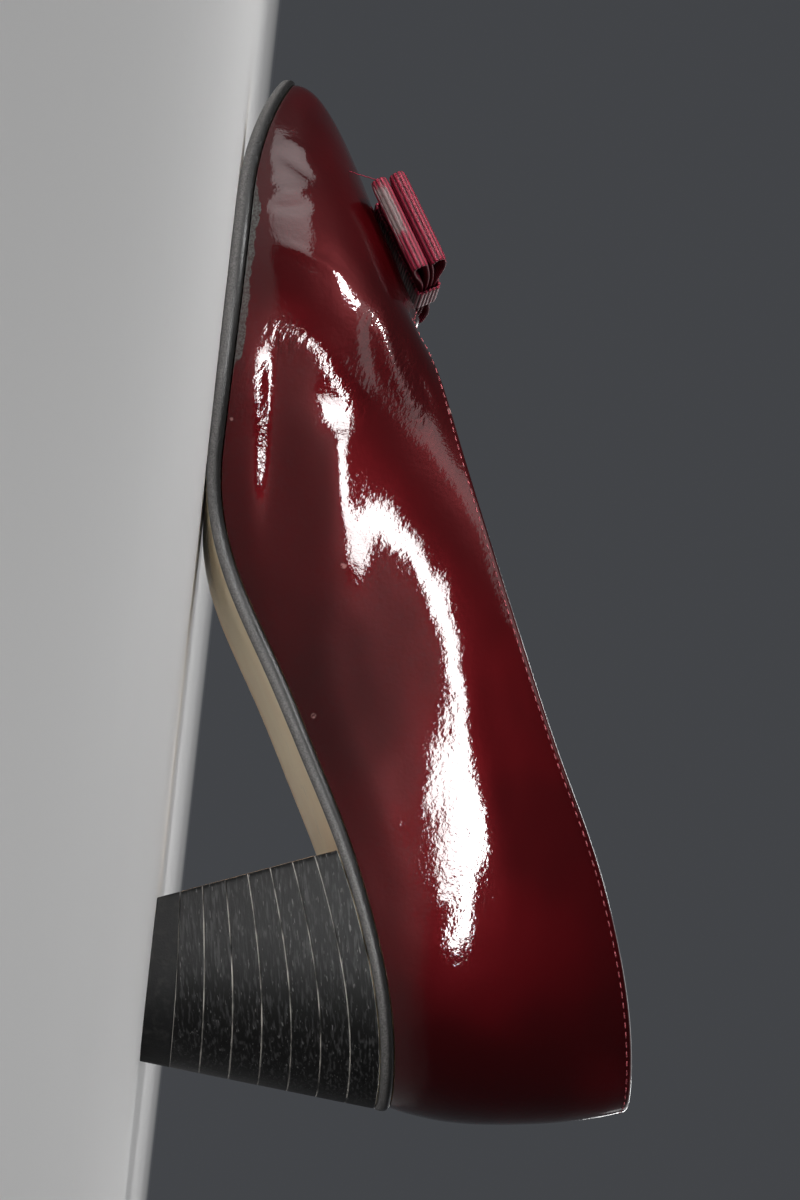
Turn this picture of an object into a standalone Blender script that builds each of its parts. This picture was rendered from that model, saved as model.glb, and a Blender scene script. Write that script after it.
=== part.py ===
"""Bow pump for the right foot: hollow upper, leather sole, stacked block heel, insole and ribbon bow.

The shoe stands on the floor at z = 0 with its toe along +X and its medial side along +Y.
Lengths in the tables are millimetres from the heel's back end and from the floor. MM turns them into metres.
"""

import math
from collections import namedtuple

import bpy
import numpy as np

MM = 0.001

# Sizes of the whole shoe
LENGTH = 250.0
BALL_WIDTH = 73.0
HEEL_HEIGHT = 54.0
TOE_SPRING = 8.4
INSTEP_HEIGHT = 48.4
BACK_HEIGHT = 112.0
TREAD_START = 145.0
TREAD_END = 205.0
PIECE_GAP = 0.3
BOX_CENTRE_X = 124.34
BOX_CENTRE_Y = -3.93

# Outline of the sole: along in shares of LENGTH, medial and lateral in shares of BALL_WIDTH
OutlineRow = namedtuple("OutlineRow", "place along medial lateral")
OUTLINE = (
    OutlineRow("heel curve", 0.016, 0.169, -0.169),
    OutlineRow("heel corner", 0.056, 0.288, -0.296),
    OutlineRow("heel seat", 0.120, 0.342, -0.359),
    OutlineRow("heel breast", 0.224, 0.342, -0.378),
    OutlineRow("shank", 0.320, 0.304, -0.381),
    OutlineRow("waist", 0.420, 0.263, -0.400),
    OutlineRow("joint", 0.520, 0.292, -0.467),
    OutlineRow("tread", 0.620, 0.403, -0.550),
    OutlineRow("ball", 0.720, 0.457, -0.550),
    OutlineRow("vamp", 0.820, 0.406, -0.444),
    OutlineRow("toe box", 0.920, 0.266, -0.322),
    OutlineRow("toe corner", 0.978, 0.136, -0.190),
)
TIP_SIDE = 0.010

# Underside of the sole behind the tread: along in shares of LENGTH, height in shares of HEEL_HEIGHT
ArchRow = namedtuple("ArchRow", "place along height")
ARCH = (
    ArchRow("back", 0.000, 1.000),
    ArchRow("seat rear", 0.056, 0.965),
    ArchRow("seat", 0.112, 0.906),
    ArchRow("seat front", 0.168, 0.819),
    ArchRow("breast", 0.224, 0.711),
    ArchRow("shank", 0.300, 0.533),
    ArchRow("waist", 0.380, 0.339),
    ArchRow("joint", 0.460, 0.136),
    ArchRow("tread edge", 0.540, 0.014),
    ArchRow("tread start", 0.580, 0.000),
)
# Thickness of the sole: along in shares of LENGTH, thick in millimetres
ThickRow = namedtuple("ThickRow", "place along thick")
THICKNESS = (
    ThickRow("back", 0.00, 3.0),
    ThickRow("breast", 0.22, 3.0),
    ThickRow("shank", 0.36, 3.5),
    ThickRow("joint", 0.54, 3.2),
    ThickRow("ball", 0.74, 3.7),
    ThickRow("toe box", 0.90, 3.4),
    ThickRow("tip", 1.00, 2.8),
)
SOLE_UNDER_BEVEL = 0.8
SOLE_EDGE_LOW = 0.6
SOLE_EDGE_HIGH = 0.5
SOLE_TOP_BEVEL = 0.6
SOLE_RIBS = 46

# Upper: one ray a row, a curve from the feather edge on the sole up to the topline.
# feather is the place along the sole, heading the way that the wall faces in plan, in degrees from the toe.
# rise and flare set how the wall leaves the sole, top_x to top_z where it ends,
# crown_out and crown_down how it comes to the topline.
WALL = 1.8
FEATHER_INSET = 1.0
Ray = namedtuple("Ray", "place feather heading rise flare top_x top_y top_z crown_out crown_down")
TOE_RAY = Ray("toe", LENGTH, 0, 10.6, 0.3, 190.0, -0.5, INSTEP_HEIGHT, 34.0, 19.0)
BACK_RAY = Ray("back", 0.0, 180, 17.0, 5.0, 4.5, 0.0, BACK_HEIGHT, 4.5, 16.0)
MEDIAL_RAYS = (
    Ray("heel corner", 7.0, 142, 17.0, 4.7, 9.0, 11.0, 111.0, 4.2, 16.0),
    Ray("heel", 28.0, 103, 17.0, 4.2, 29.0, 20.5, 106.9, 3.5, 17.0),
    Ray("breast", 56.0, 92, 17.0, 5.0, 57.0, 24.0, 98.0, 3.5, 17.0),
    Ray("shank", 80.0, 88, 17.0, 7.0, 80.0, 25.3, 87.6, 3.5, 18.0),
    Ray("waist", 105.0, 88, 18.0, 8.5, 105.0, 26.0, 77.0, 4.0, 18.0),
    Ray("joint", 131.0, 93, 18.0, 8.0, 131.0, 25.3, 66.8, 5.0, 17.0),
    Ray("tread", 156.0, 92, 18.0, 4.6, 155.0, 22.3, 58.2, 7.4, 14.0),
    Ray("ball", 181.0, 74, 18.0, 2.6, 172.5, 18.8, 51.9, 11.0, 9.5),
    Ray("vamp", 206.0, 48, 16.0, 1.8, 182.0, 14.8, 47.0, 16.0, 8.5),
    Ray("toe box", 228.0, 24, 13.6, 1.0, 187.4, 9.0, 47.3, 26.5, 14.2),
    Ray("toe corner", 243.0, 11, 11.0, 0.6, 189.4, 4.2, 48.1, 32.0, 18.0),
)
LATERAL_RAYS = (
    Ray("heel corner", 7.0, 142, 17.0, 4.7, 9.0, -11.0, 110.8, 4.2, 16.0),
    Ray("heel", 28.0, 103, 17.0, 4.2, 29.0, -21.0, 105.9, 3.6, 17.0),
    Ray("breast", 56.0, 92, 17.0, 4.6, 57.0, -25.0, 95.8, 3.8, 17.0),
    Ray("shank", 80.0, 90, 17.0, 4.6, 80.0, -27.0, 84.8, 4.0, 18.0),
    Ray("waist", 105.0, 92, 18.0, 4.8, 105.0, -28.0, 74.0, 5.0, 18.0),
    Ray("joint", 131.0, 96, 18.0, 4.4, 130.5, -27.5, 64.0, 7.0, 16.0),
    Ray("tread", 156.0, 92, 17.0, 3.0, 154.0, -25.2, 56.0, 10.0, 12.5),
    Ray("ball", 181.0, 72, 16.5, 2.2, 171.5, -21.0, 50.4, 13.0, 9.5),
    Ray("vamp", 206.0, 48, 15.0, 1.8, 181.6, -16.0, 46.2, 17.0, 9.0),
    Ray("toe box", 228.0, 24, 13.2, 1.0, 187.2, -9.8, 47.1, 26.5, 14.3),
    Ray("toe corner", 242.0, 11, 11.0, 0.6, 189.4, -5.0, 48.0, 32.0, 18.0),
)
UPPER_STEPS_PER_RAY = 4
UPPER_ROWS = 12

# Insole, a sock that lies on the sole inside the wall
INSOLE_THICK = 2.2
INSOLE_INSET = 3.4
INSOLE_RIBS = 36

# Heel: equal lifts between the sole and the floor, the last one rubber
LIFT_COUNT = 7
BREAST_PLACE = 56.0
BREAST_LEAN = 14.0
BACK_LEAN = 6.0
SIDE_TAPER = 0.10
BREAST_HOLLOW = 1.6
LIFT_INSET = 0.4
LIFT_RIBS = 9
LIFT_ACROSS = 6

# Bow: two flat ribbon loops held by a band, seated on the vamp
BOW_PLACE = 207.0
BOW_TILT = 3.0
BOW_LIFT = 0.7
RIBBON_WIDTH = 24.5
RIBBON_THICK = 0.9
LOOP_HALF_LOWER = 22.6
LOOP_HALF_UPPER = 22.0
LOOP_OPEN_TIP = 3.5
LOOP_OPEN_MIDDLE = 1.2
LOOP_DROOP = 2.6
LOOP_OPENS_OVER = 0.6
LOOP_RUN_STEPS = 14
LOOP_TURN_STEPS = 6
KNOT_WIDTH = 10.0
KNOT_CORNER = 1.0
KNOT_CORNER_STEPS = 4

# Colours, one material a piece
PATENT_BURGUNDY = (0.10, 0.012, 0.018, 1.0)
SOLE_LEATHER = (0.62, 0.47, 0.30, 1.0)
SOCK_LEATHER = (0.50, 0.36, 0.23, 1.0)
LIFT_LEATHER = (0.05, 0.04, 0.035, 1.0)
RUBBER_BLACK = (0.02, 0.02, 0.02, 1.0)
RIBBON_CRIMSON = (0.28, 0.02, 0.04, 1.0)


def closed_spline(values, at):
    """Cubic spline through values at 0, 1, 2 and so on, closed on itself, read at the places in at."""
    values = np.asarray(values, float)
    count = len(values)
    unit = np.eye(count)
    matrix = 4 * unit + np.roll(unit, 1, axis=1) + np.roll(unit, -1, axis=1)
    turn = np.roll(values, -1, axis=0) - 2 * values + np.roll(values, 1, axis=0)
    bend = np.linalg.solve(matrix, 6 * turn)
    floor = np.floor(at)
    low = floor.astype(int) % count
    high = (low + 1) % count
    right = (np.asarray(at) - floor)[:, None]
    left = 1 - right
    straight = left * values[low] + right * values[high]
    return straight + ((left**3 - left) * bend[low] + (right**3 - right) * bend[high]) / 6


def open_spline(places, values, end_slope, at):
    """Cubic spline through (places, values), free at its start and with end_slope at its end."""
    places = np.asarray(places, float)
    values = np.asarray(values, float)
    step = np.diff(places)
    rate = np.diff(values) / step
    count = len(places)
    matrix = np.zeros((count, count))
    right = np.zeros(count)
    matrix[0, 0] = 1.0
    for row in range(1, count - 1):
        matrix[row, row - 1] = step[row - 1]
        matrix[row, row] = 2 * (step[row - 1] + step[row])
        matrix[row, row + 1] = step[row]
        right[row] = 6 * (rate[row] - rate[row - 1])
    matrix[-1, -2] = step[-1]
    matrix[-1, -1] = 2 * step[-1]
    right[-1] = 6 * (end_slope - rate[-1])
    bend = np.linalg.solve(matrix, right)
    low = np.clip(np.searchsorted(places, at, side="right") - 1, 0, count - 2)
    span = step[low]
    share = (at - places[low]) / span
    rest = 1 - share
    curve = (rest**3 - rest) * bend[low] + (share**3 - share) * bend[low + 1]
    return rest * values[low] + share * values[low + 1] + curve * span**2 / 6


def smooth(low, high, at):
    """Goes from 0 at low to 1 at high with no corner."""
    share = np.clip((np.asarray(at, float) - low) / (high - low), 0, 1)
    return share * share * (3 - 2 * share)


def sole_under(at):
    """Height of the sole's underside over the floor at a place along the shoe."""
    at = np.asarray(at, float)
    places = [row.along * LENGTH for row in ARCH]
    heights = [row.height * HEEL_HEIGHT for row in ARCH]
    arch = open_spline(places, heights, 0.0, np.clip(at, 0, TREAD_START))
    spring = TOE_SPRING * (np.clip(at - TREAD_END, 0, None) / (LENGTH - TREAD_END)) ** 2
    return np.where(at < TREAD_START, arch, spring)


def slope_stretch(at):
    """Vertical length of one unit across the sole, which grows with the sole's slope."""
    reach = 0.5
    slope = (sole_under(np.asarray(at) + reach) - sole_under(np.asarray(at) - reach)) / (2 * reach)
    return np.sqrt(1 + slope**2)


def sole_thick(at):
    """Thickness of the sole at a place along the shoe."""
    places = [row.along * LENGTH for row in THICKNESS]
    return open_spline(places, [row.thick for row in THICKNESS], -0.03, np.clip(at, 0, LENGTH))


def sole_level(at, up):
    """Height of a level that lies up millimetres from the underside, square to it."""
    return sole_under(at) + up * slope_stretch(at)


def sole_top(at, up=0.0):
    """Height of the sole's upper face, or of a level up millimetres over it."""
    return sole_level(at, sole_thick(at) + up)


def outline_points(inset):
    """Closed outline of the sole, drawn in by inset, from the heel's back round the medial side."""
    medial = [(row.along * LENGTH, row.medial * BALL_WIDTH) for row in OUTLINE]
    lateral = [(row.along * LENGTH, row.lateral * BALL_WIDTH) for row in reversed(OUTLINE)]
    knots = [(0.0, 0.0)] + medial + [(LENGTH, TIP_SIDE * BALL_WIDTH)] + lateral
    fine = np.arange(0, len(knots), 0.02)
    points = closed_spline(knots, fine)
    ahead = np.roll(points, -1, axis=0) - np.roll(points, 1, axis=0)
    ahead /= np.linalg.norm(ahead, axis=1)[:, None]
    outward = np.stack([-ahead[:, 1], ahead[:, 0]], axis=1)
    return points - inset * outward


def outline_sides(inset):
    """Medial and lateral side of an outline, each from the heel's back to the toe tip."""
    points = outline_points(inset)
    back = int(np.argmin(points[:, 0]))
    points = np.roll(points, -back, axis=0)
    tip = int(np.argmax(points[:, 0]))
    lateral = np.vstack([points[tip:], points[:1]])
    return points[: tip + 1], lateral[::-1]


def side_at(side, place):
    """How far across one side of an outline lies at a place along the shoe."""
    return np.interp(place, side[:, 0], side[:, 1])


def rib_loop(inset, ribs, height):
    """Closed loop of ribs by pairs: the back point, the medial side, the tip and the lateral side."""
    medial, lateral = outline_sides(inset)
    turn = np.linspace(0, math.pi, ribs + 1)
    start, end = medial[0, 0], medial[-1, 0]
    along = start + (end - start) * (1 - np.cos(turn)) / 2
    near = np.stack([along, side_at(medial, along)], axis=1)
    far = np.stack([along, side_at(lateral, along)], axis=1)
    far[0], far[-1] = near[0], near[-1]
    plan = np.vstack([near, far[-2:0:-1]])
    return np.column_stack([plan, height(plan[:, 0])])


def paired_cap(first, count, upward):
    """Faces that close a rib loop, each between one rib and the next."""
    faces = []
    for rib in range(count // 2):
        corners = [rib, rib + 1, (count - rib - 1) % count, (count - rib) % count]
        corners = [first + corner for corner in dict.fromkeys(corners)]
        faces.append(corners[::-1] if upward else corners)
    return faces


def add_mesh(name, points, faces, colour, roughness):
    """Makes one named piece with its own material from points in millimetres."""
    mesh = bpy.data.meshes.new(name)
    mesh.from_pydata([tuple(point * MM) for point in points], [], faces)
    mesh.update()
    piece = bpy.data.objects.new(name, mesh)
    SHOE.objects.link(piece)
    piece.parent = ORIGIN
    material = bpy.data.materials.new(name)
    material.use_nodes = True
    shader = material.node_tree.nodes["Principled BSDF"]
    shader.inputs["Base Color"].default_value = colour
    shader.inputs["Roughness"].default_value = roughness
    mesh.materials.append(material)
    return piece


def loft_loops(name, loops, colour, roughness):
    """Closed solid through rib loops given from the bottom one up."""
    count = len(loops[0])
    faces = paired_cap(0, count, False)
    for level in range(len(loops) - 1):
        low, high = level * count, (level + 1) * count
        for here in range(count):
            after = (here + 1) % count
            faces.append([low + after, low + here, high + here, high + after])
    faces += paired_cap((len(loops) - 1) * count, count, True)
    return add_mesh(name, np.vstack(loops), faces, colour, roughness)


def add_outsole():
    """Leather sole with its arch, toe spring and stepped edge."""
    loops = [
        rib_loop(SOLE_UNDER_BEVEL, SOLE_RIBS, lambda at: sole_level(at, 0)),
        rib_loop(0, SOLE_RIBS, lambda at: sole_level(at, SOLE_EDGE_LOW)),
        rib_loop(0, SOLE_RIBS, lambda at: sole_top(at, -SOLE_EDGE_HIGH)),
        rib_loop(SOLE_TOP_BEVEL, SOLE_RIBS, lambda at: sole_top(at)),
    ]
    return loft_loops("outsole", loops, SOLE_LEATHER, 0.6)


def add_insole():
    """Sock that lies on the sole inside the wall."""
    loops = [
        rib_loop(INSOLE_INSET, INSOLE_RIBS, lambda at: sole_top(at, PIECE_GAP)),
        rib_loop(INSOLE_INSET, INSOLE_RIBS, lambda at: sole_top(at, PIECE_GAP + INSOLE_THICK)),
    ]
    return loft_loops("insole", loops, SOCK_LEATHER, 0.7)


def ray_reach(points, length, ray, side):
    """Distance round the outline at which a ray stands."""
    if ray is BACK_RAY:
        return 0.0
    tip = int(np.argmax(points[:, 0]))
    if ray is TOE_RAY:
        return length[tip]
    if side > 0:
        return float(np.interp(ray.feather, points[: tip + 1, 0], length[: tip + 1]))
    return float(np.interp(-ray.feather, -points[tip:, 0], length[tip:-1]))


def upper_rays(at):
    """The four points of each ray's curve at ray places in at, which runs from the back round the medial side."""
    points = outline_points(FEATHER_INSET)
    points = np.roll(points, -int(np.argmin(points[:, 0])), axis=0)
    ring = np.vstack([points, points[:1]])
    length = np.concatenate([[0.0], np.cumsum(np.linalg.norm(np.diff(ring, axis=0), axis=1))])
    rays = [(BACK_RAY, 1)] + [(ray, 1) for ray in MEDIAL_RAYS] + [(TOE_RAY, 1)]
    rays += [(ray, -1) for ray in reversed(LATERAL_RAYS)]
    count = len(rays)
    even = length[-1] * np.arange(count) / count
    reach = np.array([ray_reach(points, length, ray, side) for ray, side in rays])
    columns = []
    for (ray, side), drift in zip(rays, reach - even):
        heading = math.radians(ray.heading)
        columns.append(
            [drift, math.cos(heading), side * math.sin(heading) * (ray is not BACK_RAY)]
            + [ray.rise, ray.flare, ray.top_x, ray.top_y, ray.top_z, ray.crown_out, ray.crown_down]
        )
    read = closed_spline(columns, at)
    place = (read[:, 0] + length[-1] * np.asarray(at) / count) % length[-1]
    foot_x = np.interp(place, length, ring[:, 0])
    foot_y = np.interp(place, length, ring[:, 1])
    feather = np.column_stack([foot_x, foot_y, sole_top(foot_x, PIECE_GAP)])
    face = np.column_stack([read[:, 1:3], np.zeros(len(read))])
    face /= np.linalg.norm(face, axis=1)[:, None]
    up = np.array([0.0, 0.0, 1.0])
    top = read[:, 5:8]
    low = feather + face * read[:, 4:5] + up * read[:, 3:4]
    high = top + face * read[:, 8:9] - up * read[:, 9:10]
    return feather, low, high, top


def ray_point(rays, share):
    """Points of the rays' curves at one share of the way from the feather edge to the topline."""
    feather, low, high, top = rays
    rest = 1 - share
    return rest**3 * feather + 3 * rest**2 * share * low + 3 * rest * share**2 * high + share**3 * top


def ray_count():
    """Number of rays round the shoe."""
    return len(MEDIAL_RAYS) + len(LATERAL_RAYS) + 2


def add_upper():
    """Hollow upper: an open surface through the rays, made a wall by Solidify."""
    around = ray_count() * UPPER_STEPS_PER_RAY
    rays = upper_rays(np.arange(around) / UPPER_STEPS_PER_RAY)
    rows = [ray_point(rays, share) for share in np.linspace(0, 1, UPPER_ROWS + 1)]
    faces = []
    for row in range(UPPER_ROWS):
        low, high = row * around, (row + 1) * around
        for here in range(around):
            after = (here + 1) % around
            faces.append([low + after, low + here, high + here, high + after])
    piece = add_mesh("upper", np.vstack(rows), faces, PATENT_BURGUNDY, 0.12)
    wall = piece.modifiers.new("wall", "SOLIDIFY")
    wall.thickness = WALL * MM
    wall.offset = -1.0
    wall.use_even_offset = True
    wall.use_rim = True
    return piece


def lift_grid(share, shift):
    """Level of the heel at a share of the way down from the seat, moved up by shift."""
    medial, lateral = outline_sides(LIFT_INSET)
    start = medial[0, 0]
    turn = np.linspace(0, math.pi / 2, LIFT_RIBS + 1)
    along = start + (BREAST_PLACE - start) * (1 - np.cos(turn))
    across = np.linspace(-1, 1, LIFT_ACROSS + 1)
    near, far = side_at(medial, along), side_at(lateral, along)
    near[0] = far[0] = medial[0, 1]
    side = far[:, None] + (near - far)[:, None] * (across + 1) / 2
    hollow = BREAST_HOLLOW * (along / BREAST_PLACE)[:, None] ** 2 * (1 - across**2)
    place = along[:, None] - hollow
    height = (1 - share) * (sole_under(place) - PIECE_GAP) + shift
    front = BREAST_PLACE - BREAST_LEAN * share
    back = start + BACK_LEAN * share
    place = back + (place - start) * (front - back) / (BREAST_PLACE - start)
    return np.stack([place, side * (1 - SIDE_TAPER * share), height], axis=-1)


def add_lift(name, upper_share, lower_share, colour, roughness):
    """One lift of the heel between two levels, half a gap clear of its neighbours."""
    top = lift_grid(upper_share, -PIECE_GAP / 2 if upper_share > 0 else 0.0)
    bottom = lift_grid(lower_share, PIECE_GAP / 2 if lower_share < 1 else 0.0)
    wide = LIFT_ACROSS + 1
    points = []
    number = {}
    for level, grid in enumerate((bottom, top)):
        for rib in range(LIFT_RIBS + 1):
            for step in range(wide):
                if rib == 0 and step > 0:
                    number[level, rib, step] = number[level, 0, 0]
                    continue
                number[level, rib, step] = len(points)
                points.append(grid[rib, step])
    faces = []
    for rib in range(LIFT_RIBS):
        for step in range(LIFT_ACROSS):
            ring = ((rib, step), (rib + 1, step), (rib + 1, step + 1), (rib, step + 1))
            faces.append([number[1, rib_at, step_at] for rib_at, step_at in ring])
            faces.append([number[0, rib_at, step_at] for rib_at, step_at in reversed(ring)])
    border = [(rib, 0) for rib in range(LIFT_RIBS + 1)]
    border += [(LIFT_RIBS, step) for step in range(1, wide)]
    border += [(rib, LIFT_ACROSS) for rib in range(LIFT_RIBS - 1, 0, -1)]
    for here, after in zip(border, border[1:] + border[:1]):
        faces.append([number[0, *here], number[0, *after], number[1, *after], number[1, *here]])
    faces = [list(dict.fromkeys(face)) for face in faces]
    return add_mesh(name, points, faces, colour, roughness)


def add_heel():
    """Stack of leather lifts and the rubber top piece under it."""
    levels = np.linspace(0, 1, LIFT_COUNT + 2)
    for lift in range(LIFT_COUNT):
        add_lift(f"heel_lift_{lift + 1}", levels[lift], levels[lift + 1], LIFT_LEATHER, 0.45)
    add_lift("heel_top_piece", levels[LIFT_COUNT], 1.0, RUBBER_BLACK, 0.7)


def vamp_seat():
    """Place just over the vamp's ridge for the bow's middle, and the bow's slope there."""
    toe = upper_rays(np.array([len(MEDIAL_RAYS) + 1.0]))
    shares = np.linspace(0, 1, 401)
    ridge = np.vstack([ray_point(toe, share) for share in shares])
    here = int(np.argmin(np.abs(ridge[:, 0] - BOW_PLACE)))
    run = ridge[here - 5, 0] - ridge[here + 5, 0]
    rise = ridge[here + 5, 2] - ridge[here - 5, 2]
    slope = math.atan2(rise, run)
    outward = np.array([math.sin(slope), 0.0, math.cos(slope)])
    return ridge[here] + BOW_LIFT * outward, slope + math.radians(BOW_TILT)


def loop_profile(half, layer):
    """Closed middle line of one ribbon loop across the bow. layer is -1 for the lower loop and 1 for the upper."""
    turn_radius = LOOP_OPEN_TIP / 2
    straight = half - turn_radius
    run = np.linspace(-straight, straight, LOOP_RUN_STEPS + 1)
    free = np.clip(np.abs(run) - KNOT_WIDTH / 2 - PIECE_GAP, 0, None)
    open_share = smooth(0, LOOP_OPENS_OVER * LOOP_HALF_LOWER, free)
    opening = LOOP_OPEN_MIDDLE + (LOOP_OPEN_TIP - LOOP_OPEN_MIDDLE) * open_share
    stack_middle = 2 * PIECE_GAP + 2 * RIBBON_THICK + LOOP_OPEN_MIDDLE + PIECE_GAP / 2
    middle = stack_middle - LOOP_DROOP * (free / (LOOP_HALF_LOWER - KNOT_WIDTH / 2)) ** 2
    middle = middle + layer * (opening + RIBBON_THICK + PIECE_GAP) / 2
    top = np.column_stack([run, middle + opening / 2])
    under = np.column_stack([run, middle - opening / 2])[::-1]
    turn = np.linspace(0, math.pi, LOOP_TURN_STEPS + 1)[1:-1]
    right_turn = np.column_stack([straight + turn_radius * np.sin(turn), middle[-1] + turn_radius * np.cos(turn)])
    left_turn = np.column_stack([-straight - turn_radius * np.sin(turn), middle[0] - turn_radius * np.cos(turn)])
    return np.vstack([top, right_turn, under, left_turn])


def knot_profile():
    """Closed middle line of the band that holds both loops, seen from the side."""
    reach = RIBBON_WIDTH / 2 + PIECE_GAP + RIBBON_THICK / 2
    low = PIECE_GAP + RIBBON_THICK / 2
    stack = 2 * (LOOP_OPEN_MIDDLE + RIBBON_THICK) + PIECE_GAP
    high = low + RIBBON_THICK + 2 * PIECE_GAP + stack
    corners = ((reach, high, 0), (reach, low, 1), (-reach, low, 2), (-reach, high, 3))
    points = []
    for along, up, quarter in corners:
        centre_x = along - math.copysign(KNOT_CORNER, along)
        centre_z = up - KNOT_CORNER if up == high else up + KNOT_CORNER
        for step in range(KNOT_CORNER_STEPS + 1):
            turn = (quarter + step / KNOT_CORNER_STEPS) * math.pi / 2
            points.append((centre_x + KNOT_CORNER * math.sin(turn), centre_z + KNOT_CORNER * math.cos(turn)))
    return np.array(points)


def add_band(name, rows, parent):
    """Closed ribbon band from two or more rows of its middle line, made thick by Solidify."""
    count = len(rows[0])
    faces = []
    for row in range(len(rows) - 1):
        for here in range(count):
            after = (here + 1) % count
            faces.append([row * count + here, row * count + after, (row + 1) * count + after, (row + 1) * count + here])
    piece = add_mesh(name, np.vstack(rows), faces, RIBBON_CRIMSON, 0.6)
    piece.parent = parent
    ribbon = piece.modifiers.new("ribbon", "SOLIDIFY")
    ribbon.thickness = RIBBON_THICK * MM
    ribbon.offset = 0.0
    ribbon.use_even_offset = True
    ribbon.use_rim = True
    return piece


def add_bow():
    """Two ribbon loops and their band, on a seat that follows the vamp's slope."""
    point, slope = vamp_seat()
    seat = bpy.data.objects.new("bow_seat", None)
    SHOE.objects.link(seat)
    seat.parent = ORIGIN
    seat.location = point * MM
    seat.rotation_euler = (0.0, slope, 0.0)
    for name, half, layer in (("bow_loop_lower", LOOP_HALF_LOWER, -1), ("bow_loop_upper", LOOP_HALF_UPPER, 1)):
        profile = loop_profile(half, layer)
        rows = [
            np.column_stack([np.full(len(profile), along), profile])
            for along in (-RIBBON_WIDTH / 2, RIBBON_WIDTH / 2)
        ]
        add_band(name, rows, seat)
    profile = knot_profile()
    rows = [
        np.column_stack([profile[:, 0], np.full(len(profile), across), profile[:, 1]])
        for across in (KNOT_WIDTH / 2, -KNOT_WIDTH / 2)
    ]
    add_band("bow_knot", rows, seat)


for item in list(bpy.data.objects):
    bpy.data.objects.remove(item, do_unlink=True)
SHOE = bpy.data.collections.new("bow_pump")
bpy.context.scene.collection.children.link(SHOE)
ORIGIN = bpy.data.objects.new("shoe_origin", None)
SHOE.objects.link(ORIGIN)
ORIGIN.location = (-BOX_CENTRE_X * MM, -BOX_CENTRE_Y * MM, 0.0)
add_outsole()
add_insole()
add_upper()
add_heel()
add_bow()
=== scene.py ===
"""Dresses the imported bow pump: patent upper, leather sole, stacked heel, sock and ribbon bow.

Sizes are millimetres in the maker's frame: x from the heel's back end to the toe, y to the medial side
and z up from the floor. to_row() turns them into metres in the row frame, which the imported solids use.
"""

import logging
import math
from collections.abc import Sequence
from dataclasses import dataclass, field
from enum import Enum

import bpy
import numpy as np
from mathutils import Matrix, Vector


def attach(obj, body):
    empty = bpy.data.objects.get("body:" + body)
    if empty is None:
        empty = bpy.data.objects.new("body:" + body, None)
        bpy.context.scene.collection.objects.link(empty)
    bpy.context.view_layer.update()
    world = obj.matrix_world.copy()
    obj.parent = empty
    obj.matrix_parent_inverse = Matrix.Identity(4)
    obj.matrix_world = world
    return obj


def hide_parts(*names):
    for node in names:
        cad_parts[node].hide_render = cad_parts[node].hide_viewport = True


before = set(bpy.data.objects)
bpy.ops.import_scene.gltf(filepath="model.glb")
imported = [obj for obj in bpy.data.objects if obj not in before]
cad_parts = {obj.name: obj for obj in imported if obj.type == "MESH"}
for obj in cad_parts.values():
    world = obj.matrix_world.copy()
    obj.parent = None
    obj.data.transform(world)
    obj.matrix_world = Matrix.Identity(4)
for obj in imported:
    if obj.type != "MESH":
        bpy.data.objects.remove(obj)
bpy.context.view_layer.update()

Array = np.ndarray
Socket = bpy.types.NodeSocket
Piece = bpy.types.Object
Colour = tuple[float, float, float, float]
Point = tuple[float, float, float]
Pair = tuple[float, float]
# Where something starts, is full, fades and ends
Span = tuple[float, float, float, float]

LOG = logging.getLogger("bow_pump")
MM = 0.001
BOX_CENTRE = np.array((124.34, -3.93, 0.0))
UP = np.array((0.0, 0.0, 1.0))
PIECE_GAP = 0.3
# Value of a mark at places that lie clear of it
FAR_OFF = 9.0
# Points along the path of a crease, and along the path of a mark
CREASE_STEPS = 28
MARK_STEPS = 20
# Waves of a ripple, how their headings and lengths are spread, and how their starts are
RIPPLE_WAVES = 9
GOLDEN_ANGLE = 2.399963
GOLDEN_SHARE = 0.618034
WAVE_START = 1.7
WAVE_SHIFT = 5.1
# Metres within which doubles are merged and faces count as flat, and the least length to divide by
MERGE_REACH = 2e-6
FLAT_REACH = 1e-7
TINY = 1e-9


class Slot(Enum):
    """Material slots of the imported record."""

    UPPER = "patent_leather"
    SOLE = "sole_leather"
    SOCK = "sock_leather"
    LIFT = "lift_leather"
    RUBBER = "heel_rubber"
    RIBBON = "ribbon"


# Sole outline: along in shares of the length, medial and lateral side in shares of the ball width
OUTLINE = (
    (0.016, 0.169, -0.169),
    (0.056, 0.288, -0.296),
    (0.120, 0.342, -0.359),
    (0.224, 0.342, -0.378),
    (0.320, 0.304, -0.381),
    (0.420, 0.263, -0.400),
    (0.520, 0.292, -0.467),
    (0.620, 0.403, -0.550),
    (0.720, 0.457, -0.550),
    (0.820, 0.406, -0.444),
    (0.920, 0.266, -0.322),
    (0.978, 0.136, -0.190),
)
# Underside of the sole behind the tread: along in shares of the length, height in shares of the heel height
ARCH = (
    (0.000, 1.000),
    (0.056, 0.965),
    (0.112, 0.906),
    (0.168, 0.819),
    (0.224, 0.711),
    (0.300, 0.533),
    (0.380, 0.339),
    (0.460, 0.136),
    (0.540, 0.014),
    (0.580, 0.000),
)
# Sole thickness: along in shares of the length, thickness in millimetres
THICKNESS = ((0.00, 3.0), (0.22, 3.0), (0.36, 3.5), (0.54, 3.2), (0.74, 3.7), (0.90, 3.4), (1.00, 2.8))

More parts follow.
